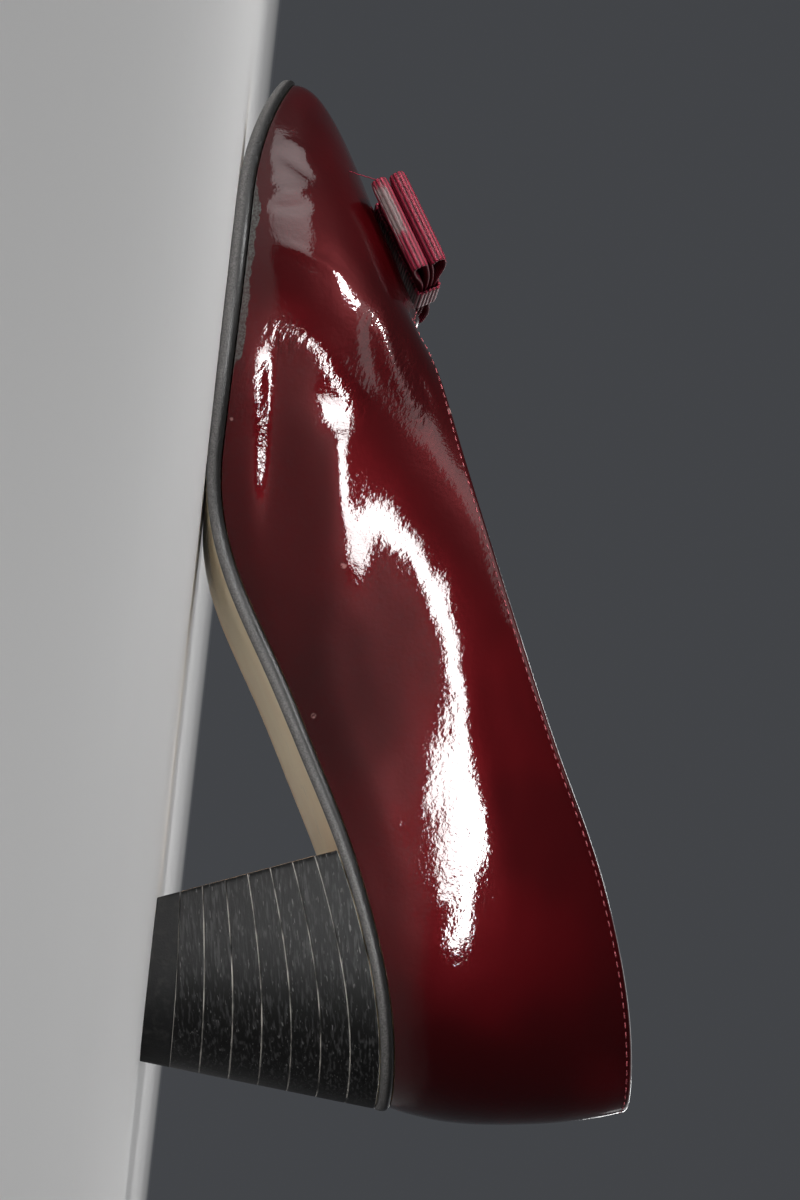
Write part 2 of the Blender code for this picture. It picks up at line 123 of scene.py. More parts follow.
# Upper: feather place, heading in plan in degrees, rise, flare, top x, top y, top z, crown out, crown down
BACK_RAY = (0.0, 180, 17.0, 5.0, 4.5, 0.0, 112.0, 4.5, 16.0)
TOE_RAY = (250.0, 0, 10.6, 0.3, 190.0, -0.5, 48.4, 34.0, 19.0)
MEDIAL_RAYS = (
    (7.0, 142, 17.0, 4.7, 9.0, 11.0, 111.0, 4.2, 16.0),
    (28.0, 103, 17.0, 4.2, 29.0, 20.5, 106.9, 3.5, 17.0),
    (56.0, 92, 17.0, 5.0, 57.0, 24.0, 98.0, 3.5, 17.0),
    (80.0, 88, 17.0, 7.0, 80.0, 25.3, 87.6, 3.5, 18.0),
    (105.0, 88, 18.0, 8.5, 105.0, 26.0, 77.0, 4.0, 18.0),
    (131.0, 93, 18.0, 8.0, 131.0, 25.3, 66.8, 5.0, 17.0),
    (156.0, 92, 18.0, 4.6, 155.0, 22.3, 58.2, 7.4, 14.0),
    (181.0, 74, 18.0, 2.6, 172.5, 18.8, 51.9, 11.0, 9.5),
    (206.0, 48, 16.0, 1.8, 182.0, 14.8, 47.0, 16.0, 8.5),
    (228.0, 24, 13.6, 1.0, 187.4, 9.0, 47.3, 26.5, 14.2),
    (243.0, 11, 11.0, 0.6, 189.4, 4.2, 48.1, 32.0, 18.0),
)
LATERAL_RAYS = (
    (7.0, 142, 17.0, 4.7, 9.0, -11.0, 110.8, 4.2, 16.0),
    (28.0, 103, 17.0, 4.2, 29.0, -21.0, 105.9, 3.6, 17.0),
    (56.0, 92, 17.0, 4.6, 57.0, -25.0, 95.8, 3.8, 17.0),
    (80.0, 90, 17.0, 4.6, 80.0, -27.0, 84.8, 4.0, 18.0),
    (105.0, 92, 18.0, 4.8, 105.0, -28.0, 74.0, 5.0, 18.0),
    (131.0, 96, 18.0, 4.4, 130.5, -27.5, 64.0, 7.0, 16.0),
    (156.0, 92, 17.0, 3.0, 154.0, -25.2, 56.0, 10.0, 12.5),
    (181.0, 72, 16.5, 2.2, 171.5, -21.0, 50.4, 13.0, 9.5),
    (206.0, 48, 15.0, 1.8, 181.6, -16.0, 46.2, 17.0, 9.0),
    (228.0, 24, 13.2, 1.0, 187.2, -9.8, 47.1, 26.5, 14.3),
    (242.0, 11, 11.0, 0.6, 189.4, -5.0, 48.0, 32.0, 18.0),
)


def to_row(points: Array) -> Array:
    """Turns points of the maker's frame in millimetres into the row frame in metres."""
    return (np.asarray(points, float) - BOX_CENTRE) * MM


def closed_spline(values: Array, at: Array) -> Array:
    """Reads a closed cubic spline.

    Args:
        values: rows that the spline passes at 0, 1, 2 and so on.
        at: places to read.

    Returns:
        One row for each place.
    """
    values = np.asarray(values, float)
    count = len(values)
    ones = np.eye(count)
    matrix = 4 * ones + np.roll(ones, 1, axis=1) + np.roll(ones, -1, axis=1)
    turn = np.roll(values, -1, axis=0) - 2 * values + np.roll(values, 1, axis=0)
    bend = np.linalg.solve(matrix, 6 * turn)
    floor = np.floor(at)
    low = floor.astype(int) % count
    high = (low + 1) % count
    right = (np.asarray(at) - floor)[:, None]
    left = 1 - right
    straight = left * values[low] + right * values[high]
    return straight + ((left**3 - left) * bend[low] + (right**3 - right) * bend[high]) / 6


def open_spline(table: Sequence[Pair], end_slope: float, at: Array) -> Array:
    """Reads an open cubic spline that is free at its start.

    Args:
        table: place and value of each knot.
        end_slope: slope at the last knot.
        at: places to read.

    Returns:
        One value for each place.
    """
    places, values = np.array(table, float).T
    step = np.diff(places)
    rate = np.diff(values) / step
    count = len(places)
    matrix = np.zeros((count, count))
    right = np.zeros(count)
    matrix[0, 0] = 1.0
    for row in range(1, count - 1):
        matrix[row, row - 1] = step[row - 1]
        matrix[row, row] = 2 * (step[row - 1] + step[row])
        matrix[row, row + 1] = step[row]
        right[row] = 6 * (rate[row] - rate[row - 1])
    matrix[-1, -2] = step[-1]
    matrix[-1, -1] = 2 * step[-1]
    right[-1] = 6 * (end_slope - rate[-1])
    bend = np.linalg.solve(matrix, right)
    low = np.clip(np.searchsorted(places, at, side="right") - 1, 0, count - 2)
    span = step[low]
    share = (at - places[low]) / span
    rest = 1 - share
    curve = (rest**3 - rest) * bend[low] + (share**3 - share) * bend[low + 1]
    return rest * values[low] + share * values[low + 1] + curve * span**2 / 6


def smooth(low: float, high: float, at: Array) -> Array:
    """Goes from 0 at low to 1 at high with no corner."""
    share = np.clip((np.asarray(at, float) - low) / (high - low), 0, 1)
    return share * share * (3 - 2 * share)


def window(start: float, full: float, fade: float, end: float, at: Array) -> Array:
    """Goes from 0 at start to 1 at full, stays there, and goes from fade back to 0 at end."""
    return smooth(start, full, at) * smooth(end, fade, at)


def unit(vectors: Array) -> Array:
    """Vectors at length 1."""
    return vectors / np.maximum(np.linalg.norm(vectors, axis=-1, keepdims=True), TINY)


def ripple(points: Array, wave: float, shift: float) -> Array:
    """Smooth uneven field of about -1 to 1.

    Args:
        points: places in millimetres.
        wave: usual length of one swell in millimetres.
        shift: moves the field to another pattern.

    Returns:
        One value for each place.
    """
    total = np.zeros(points.shape[:-1])
    for turn in range(RIPPLE_WAVES):
        height = 1 - 2 * (turn + 0.5) / RIPPLE_WAVES
        around = turn * GOLDEN_ANGLE + shift
        flat = math.sqrt(1 - height * height)
        way = np.array((flat * math.cos(around), flat * math.sin(around), height))
        length = wave * (0.75 + 0.5 * ((turn * GOLDEN_SHARE + shift) % 1.0))
        total += np.sin(points @ way * (2 * math.pi / length) + turn * WAVE_START + shift * WAVE_SHIFT)
    return total / (RIPPLE_WAVES * 0.5)


def run_length(points: Array) -> Array:
    """Length along a line up to each of its points."""
    return np.concatenate([[0.0], np.cumsum(np.linalg.norm(np.diff(points, axis=0), axis=1))])


def read_along(values: Array, reach: Array, at: Array) -> Array:
    """Rows of values, known at lengths reach along a line, read at other lengths."""
    return np.column_stack([np.interp(at, reach, column) for column in values.T])


def soften(ring: Array, times: int) -> Array:
    """Rounds a closed line by moving each point towards its neighbours.

    Args:
        ring: points of the line, the last at the first.
        times: how often the points are moved.

    Returns:
        The rounded line.
    """
    for _ in range(times):
        free = ring[:-1]
        free = (np.roll(free, 1, axis=0) + 2 * free + np.roll(free, -1, axis=0)) / 4
        ring = np.vstack([free, free[:1]])
    return ring


def by_row(values: Sequence[float], columns: int) -> Array:
    """One value for each row of a grid, repeated along its columns."""
    return np.repeat(np.array(values)[:, None], columns, axis=1)


def polyline(path: Sequence[Point], steps: int) -> Array:
    """Draws a smooth line through the points of a path.

    Args:
        path: points that the line passes.
        steps: how many points the line gets.

    Returns:
        Points of the line, evenly spaced along the path.
    """
    knots = np.array(path, float)
    reach = run_length(knots)
    at = np.linspace(0, reach[-1], steps)
    slope = np.gradient(knots, reach, axis=0)
    low = np.clip(np.searchsorted(reach, at, side="right") - 1, 0, len(knots) - 2)
    span = (reach[low + 1] - reach[low])[:, None]
    share = (at[:, None] - reach[low][:, None]) / span
    rest = 1 - share
    ends = knots[low] * rest**2 * (1 + 2 * share) + knots[low + 1] * share**2 * (1 + 2 * rest)
    return ends + span * rest * share * (slope[low] * rest - slope[low + 1] * share)


def nearest_on(line: Array, points: Array) -> tuple[Array, Array]:
    """Distance of each point from a line and the share of the line's length where it is nearest.

    Args:
        line: points of the line.
        points: places to measure, in any shape that ends in 3.

    Returns:
        Distances and shares, in the points' shape.
    """
    best = np.full(points.shape[:-1], np.inf)
    share = np.zeros(points.shape[:-1])
    last = len(line) - 1
    for step in range(last):
        start, along = line[step], line[step + 1] - line[step]
        part = np.clip(((points - start) @ along) / max(float(along @ along), TINY), 0, 1)
        far = np.linalg.norm(points - start - part[..., None] * along, axis=-1)
        nearer = far < best
        best = np.where(nearer, far, best)
        share = np.where(nearer, (step + part) / last, share)
    return best, share


def add_grid(name: str, points: Array, marks: dict[str, Array] | None = None) -> Piece:
    """Adds a primitive grid and places its points.

    Args:
        name: name of the piece.
        points: rows and columns of places in millimetres.
        marks: values to paint on the points, by name, in rows and columns.

    Returns:
        The new piece.
    """
    rows, columns = points.shape[:2]
    bpy.ops.object.select_all(action="DESELECT")
    bpy.ops.mesh.primitive_grid_add(x_subdivisions=columns - 1, y_subdivisions=rows - 1, size=2.0)
    piece = bpy.context.object
    piece.name = name
    mesh = piece.data
    mesh.name = name
    flat = np.empty(len(mesh.vertices) * 3, np.float32)
    mesh.vertices.foreach_get("co", flat)
    flat = flat.reshape(-1, 3)
    column = np.rint((flat[:, 0] + 1) / 2 * (columns - 1)).astype(int)
    row = np.rint((flat[:, 1] + 1) / 2 * (rows - 1)).astype(int)
    mesh.vertices.foreach_set("co", to_row(points[row, column]).astype(np.float32).ravel())
    for mark, values in (marks or {}).items():
        paint = mesh.attributes.new(mark, "FLOAT", "POINT")
        paint.data.foreach_set("value", values[row, column].astype(np.float32))
    return piece


def row_faces(piece: Piece, rows: int, columns: int, first: int, last: int, slot: int) -> None:
    """Gives the faces from one grid row to another a material slot, before doubles are merged.

    Args:
        piece: a piece from add_grid.
        rows: grid rows.
        columns: grid columns.
        first: first row of the faces.
        last: row after the last face.
        slot: material slot.
    """
    height = np.arange(rows * columns) // columns
    lowest = [min(height[corner] for corner in face.vertices) for face in piece.data.polygons]
    chosen = [slot if first <= row < last else 0 for row in lowest]
    piece.data.polygons.foreach_set("material_index", chosen)


def close_up(piece: Piece, angle: float = 50.0) -> None:
    """Merges the seams of a piece, turns its faces outwards and shades it smooth.

    Args:
        piece: piece to finish.
        angle: edges sharper than this stay sharp, in degrees.
    """
    bpy.ops.object.select_all(action="DESELECT")
    piece.select_set(True)
    bpy.context.view_layer.objects.active = piece
    bpy.ops.object.mode_set(mode="EDIT")
    bpy.ops.mesh.select_all(action="SELECT")
    bpy.ops.mesh.remove_doubles(threshold=MERGE_REACH)
    bpy.ops.mesh.dissolve_degenerate(threshold=FLAT_REACH)
    bpy.ops.mesh.normals_make_consistent(inside=False)
    bpy.ops.object.mode_set(mode="OBJECT")
    bpy.ops.object.shade_smooth_by_angle(angle=math.radians(angle))


def settle(piece: Piece, slot: Slot | None, *nodes: str) -> None:
    """Lets a piece ride on the shoe and hides the solids that it stands for.

    Args:
        piece: finished piece.
        slot: slot of the record that it takes its finish from, or None; not used.
        nodes: solids that it stands for.
    """
    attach(piece, "root")
    if nodes:
        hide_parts(*nodes)


class NodeBench:
    """Adds and joins the nodes of one material."""

    def __init__(self, name: str) -> None:
        """Starts a material with one shader, its output and the object's own coordinates.

        Args:
            name: name of the material.
        """
        self.material = bpy.data.materials.new(name)
        self.material.use_nodes = True
        self.tree = self.material.node_tree
        self.tree.nodes.clear()
        self.shader = self.node("ShaderNodeBsdfPrincipled")
        output = self.node("ShaderNodeOutputMaterial")
        self.tree.links.new(self.shader.outputs["BSDF"], output.inputs["Surface"])
        self.place = self.node("ShaderNodeTexCoord").outputs["Object"]

    def node(self, kind: str, inputs: dict | None = None, **settings: object) -> bpy.types.Node:
        """Adds one node.

        Args:
            kind: Blender's name of the node.
            inputs: values or sockets by input name or number.
            settings: properties of the node.

        Returns:
            The node.
        """
        made = self.tree.nodes.new(kind)
        for key, value in settings.items():
            setattr(made, key, value)
        for key, value in (inputs or {}).items():
            self.feed(made.inputs[key], value)
        return made

    def feed(self, socket: Socket, value: object) -> None:
        """Links an input to a socket, or sets its own value.

        Args:
            socket: the input.
            value: a socket or a constant.
        """
        if isinstance(value, bpy.types.NodeSocket):
            self.tree.links.new(value, socket)
        else:
            socket.default_value = value

    def set(self, **inputs: object) -> None:
        """Feeds the shader.

        Args:
            inputs: values or sockets by input name, with _ for each space.
        """
        for key, value in inputs.items():
            name = key.replace("_", " ").title().replace("Ior", "IOR")
            self.feed(self.shader.inputs[name], value)

    def painted(self, name: str) -> Socket:
        """Value painted on the piece's points."""
        return self.node("ShaderNodeAttribute", attribute_name=name).outputs["Fac"]

    def math(self, operation: str, first: object, second: object = 0.0) -> Socket:
        """Result of one calculation."""
        return self.node("ShaderNodeMath", {0: first, 1: second}, operation=operation).outputs[0]

    def times(self, first: object, second: object) -> Socket:
        """Product of two values."""
        return self.math("MULTIPLY", first, second)

    def plus(self, first: object, second: object) -> Socket:
        """Sum of two values."""
        return self.math("ADD", first, second)

    def ramp(self, value: Socket, gain: float, base: float) -> Socket:
        """Base where value is 0, and base and gain together where it is 1."""
        return self.plus(self.times(value, gain), base)

    def band(self, value: object, low: float, high: float) -> Socket:
        """Goes smoothly from 0 to 1 between two values.

        Args:
            value: value to read.
            low: value that gives 0.
            high: value that gives 1.

        Returns:
            The result.
        """
        inputs = {"Value": value, "From Min": low, "From Max": high}
        made = self.node("ShaderNodeMapRange", inputs, interpolation_type="SMOOTHSTEP")
        return made.outputs["Result"]

    def mix(self, share: object, first: object, second: object) -> Socket:
        """Mixes two colours."""
        inputs = {0: share, 6: first, 7: second}
        return self.node("ShaderNodeMix", inputs, data_type="RGBA").outputs[2]

    def glaze(self, colour: object, share: Socket, strength: float, over: Colour) -> Socket:
        """Lays a colour over another where share is 1, at a strength from 0 to 1."""
        return self.mix(self.times(share, strength), colour, over)

    def stretched(self, stretch: Point, dip: float = 0.0) -> Socket:
        """The object's coordinates with a pattern drawn out along each axis.

        Args:
            stretch: how many times longer the pattern gets along x, y and z.
            dip: how far the pattern's x leans down towards the toe, in degrees.

        Returns:
            The coordinates.
        """
        inputs = {"Vector": self.place, "Rotation": (0.0, math.radians(dip), 0.0), "Scale": stretch}
        return self.node("ShaderNodeMapping", inputs, vector_type="TEXTURE").outputs["Vector"]

    def noise(self, size: float, detail: float = 2.0, place: Socket | None = None) -> Socket:
        """Uneven pattern.

        Args:
            size: usual size of one grain in millimetres.
            detail: how much finer grain it holds.
            place: coordinates, or None for the object's own.

        Returns:
            Values of about 0.3 to 0.7.
        """
        inputs = {"Vector": place or self.place, "Scale": 1 / (size * MM), "Detail": detail}
        return self.node("ShaderNodeTexNoise", inputs).outputs[0]

    def cells(self, size: float, output: str = "Distance", place: Socket | None = None) -> Socket:
        """Pattern of cells of a size in millimetres."""
        inputs = {"Vector": place or self.place, "Scale": 1 / (size * MM)}
        return self.node("ShaderNodeTexVoronoi", inputs).outputs[output]

    def shifted(self, value: Socket, noise: Socket, reach: float) -> Socket:
        """Moves a value up and down by a noise, by reach at most."""
        return self.plus(value, self.times(self.math("SUBTRACT", noise, 0.5), 2 * reach))

    def bump(self, height: Socket, depth: float, under: Socket | None = None) -> Socket:
        """Normal of a relief.

        Args:
            height: relief from 0 to 1.
            depth: height of 1 in millimetres.
            under: normal of the relief below it.

        Returns:
            The normal.
        """
        inputs = {"Height": height, "Distance": depth * MM}
        if under is not None:
            inputs["Normal"] = under
        return self.node("ShaderNodeBump", inputs).outputs["Normal"]


@dataclass(frozen=True)
class Scuff:
    """Small worn mark of the lacquer: a ring where it has a bore, else a spot."""

    place: Point
    radius: float
    bore: float = 0.0
    soft: float = 0.85

    def strength(self, bench: NodeBench) -> Socket:
        """Draws the mark.

        Args:
            bench: bench of the material.

        Returns:
            How worn the lacquer is, from 0 to 1.
        """
        inputs = {0: bench.place, 1: tuple(to_row(self.place))}
        far = bench.node("ShaderNodeVectorMath", inputs, operation="DISTANCE").outputs["Value"]
        spot = bench.band(far, self.radius * MM, self.radius * self.soft * MM)
        if not self.bore:
            return spot
        return bench.times(spot, bench.band(far, self.bore * self.soft * MM, self.bore * MM))


# A ring at the ball and small spots, in millimetres
SCUFFS = (
    Scuff((171.9, 32.9, 18.3), 1.30, 1.05),
    Scuff((119.9, 26.7, 33.5), 0.9, 0.0, 0.5),
    Scuff((85.6, 21.5, 30.3), 0.8, 0.0, 0.5),
    Scuff((151.2, 27.2, 4.6), 0.6, 0.0, 0.5),
    Scuff((128.0, 22.9, 19.6), 0.55, 0.0, 0.5),
    # Pale spot at the topline where it glints: partly a painted highlight, partly worn lacquer
    Scuff((161.3, 21.7, 55.3), 1.0, 0.0, 0.5),
    Scuff((175.2, 32.2, 4.2), 0.7, 0.0, 0.5),
)


@dataclass(frozen=True)
class PatentLeather:
    """Lacquered oxblood leather with fine wrinkles, specks, scuffs and smeared edge black."""

    name: str = "patent_oxblood"
    deep: Colour = (0.0125, 0.0003, 0.0006, 1.0)
    full: Colour = (0.0245, 0.0004, 0.0009, 1.0)
    glow: Colour = (1.0, 0.06, 0.08, 1.0)
    ink: Colour = (0.046, 0.056, 0.053, 1.0)
    ink_pit: Colour = (0.018, 0.021, 0.020, 1.0)
    shadow: Colour = (0.006, 0.0005, 0.0008, 1.0)
    speck: Colour = (0.30, 0.16, 0.15, 1.0)
    scuff: Colour = (0.17, 0.090, 0.085, 1.0)
    cloud_size: float = 40.0
    ink_size: float = 3.0
    ink_swing: float = 1.3
    pit_size: float = 0.55
    fold_half: float = 0.35
    speck_cell: float = 7.0
    tear_size: float = 0.7
    peel_size: float = 1.3
    peel_depth: float = 0.035
    grain_size: float = 0.45
    grain_depth: float = 0.009
    crinkle_size: float = 2.0
    crinkle_run: float = 2.2
    crinkle_dip: float = -22.0
    crinkle_depth: float = 0.30
    roughness: float = 0.38
    coat_roughness: float = 0.045
    coat_ior: float = 1.33
    specular: float = 0.16
    scuffs: tuple[Scuff, ...] = SCUFFS

    def torn(self, bench: NodeBench) -> Socket:
        """Draws all the scuffs.

        Args:
            bench: bench of the material.

        Returns:
            How torn the lacquer is, from 0 to 1.
        """
        worn = 0.0
        for mark in self.scuffs:
            worn = bench.math("MAXIMUM", worn, mark.strength(bench))
        return bench.times(worn, bench.band(bench.noise(self.tear_size, 4.0), 0.36, 0.54))

    def specks(self, bench: NodeBench) -> Socket:
        """Dots in a few cells, from 0 to 1."""
        chosen = bench.band(bench.cells(self.speck_cell, "Color"), 0.80, 0.82)
        return bench.times(chosen, bench.band(bench.cells(self.speck_cell), 0.030, 0.020))

    def relief(self, bench: NodeBench) -> Socket:
        """Raises the lacquer's peel, the leather's grain and the crinkles.

        Args:
            bench: bench of the material.

        Returns:
            The normal.
        """
        peel = bench.bump(bench.noise(self.peel_size), self.peel_depth)
        grain = bench.bump(bench.noise(self.grain_size), self.grain_depth, peel)
        flow = bench.stretched((self.crinkle_run, 1.0, 1.0), self.crinkle_dip)
        swing = bench.math("SUBTRACT", bench.noise(self.crinkle_size, 3.0, flow), 0.5)
        crinkled = bench.times(bench.math("ABSOLUTE", swing), bench.painted("crinkle"))
        return bench.bump(crinkled, self.crinkle_depth, grain)

    def material(self) -> bpy.types.Material:
        """Makes the material.

        Returns:
            The material.
        """
        bench = NodeBench(self.name)
        near = bench.band(bench.math("ABSOLUTE", bench.painted("fold")), self.fold_half, 0.0)
        line = bench.times(near, bench.painted("fold_strength"))
        scuff = self.torn(bench)
        ragged = bench.shifted(bench.painted("ink"), bench.noise(self.ink_size, 4.0), self.ink_swing)
        ink = bench.band(ragged, 0.0, 0.16)
        pits = bench.band(bench.noise(self.pit_size, 5.0), 0.62, 0.38)
        colour = bench.mix(bench.band(bench.noise(self.cloud_size), 0.36, 0.64), self.deep, self.full)
        # Painted shade along the fine folds
        colour = bench.glaze(colour, line, 0.7, self.shadow)
        colour = bench.glaze(colour, self.specks(bench), 0.7, self.speck)
        colour = bench.glaze(colour, scuff, 0.85, self.scuff)
        colour = bench.mix(ink, colour, bench.mix(pits, self.ink, self.ink_pit))
        normal = self.relief(bench)
        dull = bench.math("MAXIMUM", bench.math("MAXIMUM", ink, scuff), bench.times(line, 0.8))
        bench.set(base_color=colour, normal=normal, coat_normal=normal)
        bench.set(roughness=bench.ramp(dull, 0.17, self.roughness))
        bench.set(coat_weight=bench.ramp(dull, -0.92, 1.0))
        bench.set(coat_roughness=self.coat_roughness, coat_ior=self.coat_ior)
        bench.set(specular_ior_level=self.specular, specular_tint=self.glow)
        return bench.material


@dataclass(frozen=True)
class SoftLeather:
    """Plain dressed leather for the lining and the sock."""

    name: str
    pale: Colour
    dark: Colour
    pore_size: float = 0.9
    pore_depth: float = 0.05
    roughness: float = 0.62
    roughness_swing: float = 0.06
    cloud_size: float = 18.0
    crease_size: float = 6.0
    crease_depth: float = 0.25

    def material(self) -> bpy.types.Material:
        """Makes the material.

        Returns:
            The material.
        """
        bench = NodeBench(self.name)
        cloud = bench.band(bench.noise(self.cloud_size, 4.0), 0.35, 0.68)
        pores = bench.cells(self.pore_size)
        colour = bench.mix(cloud, self.pale, self.dark)
        colour = bench.glaze(colour, bench.band(pores, 0.25, 0.05), 0.35, self.dark)
        fine = bench.bump(bench.band(pores, 0.05, 0.45), self.pore_depth)
        crease = bench.bump(bench.noise(self.crease_size, 3.0), self.crease_depth, fine)
        bench.set(base_color=colour, normal=crease)
        smoothest = self.roughness - self.roughness_swing
        bench.set(roughness=bench.ramp(cloud, 2 * self.roughness_swing, smoothest))
        return bench.material


@dataclass(frozen=True)
class SoleLeather:
    """Natural sole leather, worn pale at the forefoot, with painted shade of tan along the waist's lateral
    rim, and a blacked edge whose lower half is painted mottled grey as painted light.
    """

    name: str = "sole_leather"
    cream: Colour = (0.78, 0.67, 0.47, 1.0)
    tan: Colour = (0.63, 0.42, 0.23, 1.0)
    worn: Colour = (0.80, 0.745, 0.63, 1.0)
    chalk: Colour = (0.90, 0.875, 0.80, 1.0)
    smudge: Colour = (0.56, 0.50, 0.40, 1.0)
    dirt: Colour = (0.13, 0.085, 0.055, 1.0)
    stain: Colour = (0.56, 0.385, 0.25, 1.0)
    black: Colour = (0.0045, 0.0043, 0.0042, 1.0)
    # Mottled grey that the edge's lower half is painted with, as painted light
    rubbed_and_lit: Colour = (0.098, 0.094, 0.091, 1.0)
    run: float = 2.5
    cloud_size: float = 16.0
    warm_size: float = 4.0
    wear_size: float = 9.0
    wear_swing: float = 6.0
    stipple_size: float = 0.9
    stipple_swing: float = 12.0
    tone_size: float = 11.0
    streak_size: float = 1.8
    stain_size: float = 1.1
    grit_size: float = 0.5
    scratch_size: float = 2.0
    border_size: float = 0.8
    edge_size: float = 0.4
    skin_size: float = 0.5
    skin_depth: float = 0.10
    fibre_size: float = 0.35
    fibre_depth: float = 0.12
    specular: float = 0.22

    def underside(self, bench: NodeBench) -> tuple[Socket, Socket]:
        """Paints the underside.

        Args:
            bench: bench of the material.

        Returns:
            Colour, and how worn it is from 0 to 1.
        """
        along = bench.stretched((self.run, 1.0, 1.0))
        cloud = bench.band(bench.noise(self.cloud_size, 4.0), 0.36, 0.66)
        # Tan of the toe, and painted shade of tan along the waist's lateral rim
        tan_and_rim_shade = bench.shifted(bench.painted("tan"), bench.noise(self.warm_size, 5.0), 0.45)
        colour = bench.glaze(self.cream, cloud, 0.16, self.tan)
        colour = bench.glaze(colour, bench.band(tan_and_rim_shade, 0.1, 1.0), 0.85, self.tan)
        border = bench.painted("worn")
        soft = bench.shifted(border, bench.noise(self.wear_size, 4.0), self.wear_swing)
        stippled = bench.shifted(soft, bench.noise(self.stipple_size, 5.0, along), self.stipple_swing)
        worn = bench.band(stippled, -1.6, 2.2)
        tone = bench.mix(bench.band(bench.noise(self.tone_size, 3.0), 0.38, 0.64), self.worn, self.chalk)
        streak = bench.band(bench.noise(self.streak_size, 5.0, along), 0.52, 0.74)
        colour = bench.mix(worn, colour, bench.glaze(tone, streak, 0.30, self.smudge))
        brown = bench.shifted(bench.painted("stain"), bench.noise(self.stain_size, 5.0, along), 0.9)
        colour = bench.glaze(colour, bench.band(brown, 0.25, 0.95), 0.75, self.stain)
        grit = bench.band(bench.noise(self.grit_size), 0.62, 0.69)
        spots = bench.times(grit, bench.band(bench.math("ABSOLUTE", border), 7.0, 1.5))
        colour = bench.glaze(colour, spots, 0.6, self.dirt)
        marks = bench.band(bench.noise(self.scratch_size, 3.0, along), 0.58, 0.66)
        faint = bench.times(marks, bench.painted("scratch"))
        return bench.glaze(colour, faint, 0.55, self.smudge), worn

    def material(self) -> bpy.types.Material:
        """Makes the material.

        Returns:
            The material.
        """
        bench = NodeBench(self.name)
        colour, worn = self.underside(bench)
        # Painted light: the edge is painted mottled grey on its lower half, fading to black on its upper half
        painted_light = bench.ramp(bench.painted("edge_painted_light"), 0.94, 0.06)
        even = bench.ramp(bench.band(bench.noise(self.edge_size, 5.0), 0.30, 0.74), 0.6, 0.4)
        lit_speckle = bench.times(even, painted_light)
        border = bench.shifted(bench.painted("edge"), bench.noise(self.border_size), 0.06)
        is_edge = bench.band(border, 0.46, 0.54)
        colour = bench.mix(is_edge, colour, bench.mix(lit_speckle, self.black, self.rubbed_and_lit))
        fibre = bench.bump(bench.times(bench.noise(self.fibre_size, 4.0), worn), self.fibre_depth)
        coarse = bench.times(bench.noise(self.skin_size, 4.0), bench.ramp(is_edge, 0.35, 0.4))
        bench.set(base_color=colour, normal=bench.bump(coarse, self.skin_depth, fibre))
        matt = bench.ramp(worn, 0.22, 0.52)
        dull = bench.ramp(lit_speckle, 0.25, 0.30)
        apart = bench.times(bench.math("SUBTRACT", dull, matt), is_edge)
        bench.set(roughness=bench.plus(matt, apart), specular_ior_level=self.specular)
        return bench.material


@dataclass(frozen=True)
class StackedLeather:
    """Leather of the heel's lifts: blacked sides with pale joint lines, and a natural breast."""

    name: str = "lift_leather"
    black: Colour = (0.0036, 0.0035, 0.0034, 1.0)
    grey: Colour = (0.023, 0.0225, 0.0225, 1.0)
    scratch: Colour = (0.085, 0.083, 0.081, 1.0)
    joint: Colour = (0.36, 0.34, 0.31, 1.0)
    natural: Colour = (0.46, 0.305, 0.185, 1.0)
    brown: Colour = (0.34, 0.21, 0.12, 1.0)
    stroke_size: float = 0.55
    stroke_run: Point = (7.0, 2.2, 1.0)
    stroke_dip: float = 11.0
    stroke_depth: float = 0.05
    nick_size: float = 0.34
    break_size: float = 7.0
    ragged_size: float = 2.4
    fibre_size: float = 1.0
    fibre_run: Point = (2.0, 4.0, 1.0)
    fibre_depth: float = 0.03
    specular: float = 0.12

    def material(self) -> bpy.types.Material:
        """Makes the material.

        Returns:
            The material.
        """
        bench = NodeBench(self.name)
        lying = bench.stretched(self.stroke_run, self.stroke_dip)
        strokes = bench.noise(self.stroke_size, 4.0, lying)
        nicks = bench.band(bench.noise(self.nick_size, 2.0, lying), 0.665, 0.71)
        joint = bench.painted("joint")
        ragged = bench.shifted(joint, bench.noise(self.ragged_size, 3.0), 0.45)
        broken = bench.band(bench.noise(self.break_size, 4.0), 0.30, 0.60)
        line = bench.times(bench.band(ragged, 0.42, 0.70), broken)
        side = bench.mix(bench.band(strokes, 0.49, 0.68), self.black, self.grey)
        side = bench.glaze(side, nicks, 0.8, self.scratch)
        side = bench.glaze(side, line, 0.85, self.joint)
        fibre = bench.noise(self.fibre_size, 5.0, bench.stretched(self.fibre_run))
        front = bench.glaze(self.natural, bench.band(fibre, 0.36, 0.66), 0.7, self.brown)
        front = bench.mix(bench.band(joint, 0.3, 0.9), front, self.brown)
        breast = bench.band(bench.painted("breast"), 0.45, 0.55)
        relief = bench.bump(fibre, self.fibre_depth, bench.bump(strokes, self.stroke_depth))
        bench.set(base_color=bench.mix(breast, side, front), normal=relief)
        bench.set(roughness=bench.ramp(breast, 0.15, 0.44), specular_ior_level=self.specular)
        return bench.material


@dataclass(frozen=True)
class HeelRubber:
    """Dense black rubber of the heel's top piece, scuffed grey at its edges."""

    name: str = "heel_rubber"
    black: Colour = (0.0055, 0.0055, 0.0055, 1.0)
    grey: Colour = (0.034, 0.033, 0.031, 1.0)
    scuff_size: float = 1.6
    grain_size: float = 0.5
    grain_depth: float = 0.06
    specular: float = 0.15

    def material(self) -> bpy.types.Material:
        """Makes the material.

        Returns:
            The material.
        """
        bench = NodeBench(self.name)
        scuff = bench.band(bench.noise(self.scuff_size, 5.0), 0.45, 0.72)
        worn = bench.times(scuff, bench.plus(bench.painted("joint"), 0.35))
        grain = bench.bump(bench.noise(self.grain_size, 3.0), self.grain_depth)
        bench.set(base_color=bench.mix(worn, self.black, self.grey), normal=grain)
        bench.set(roughness=bench.ramp(scuff, 0.15, 0.58), specular_ior_level=self.specular)
        return bench.material


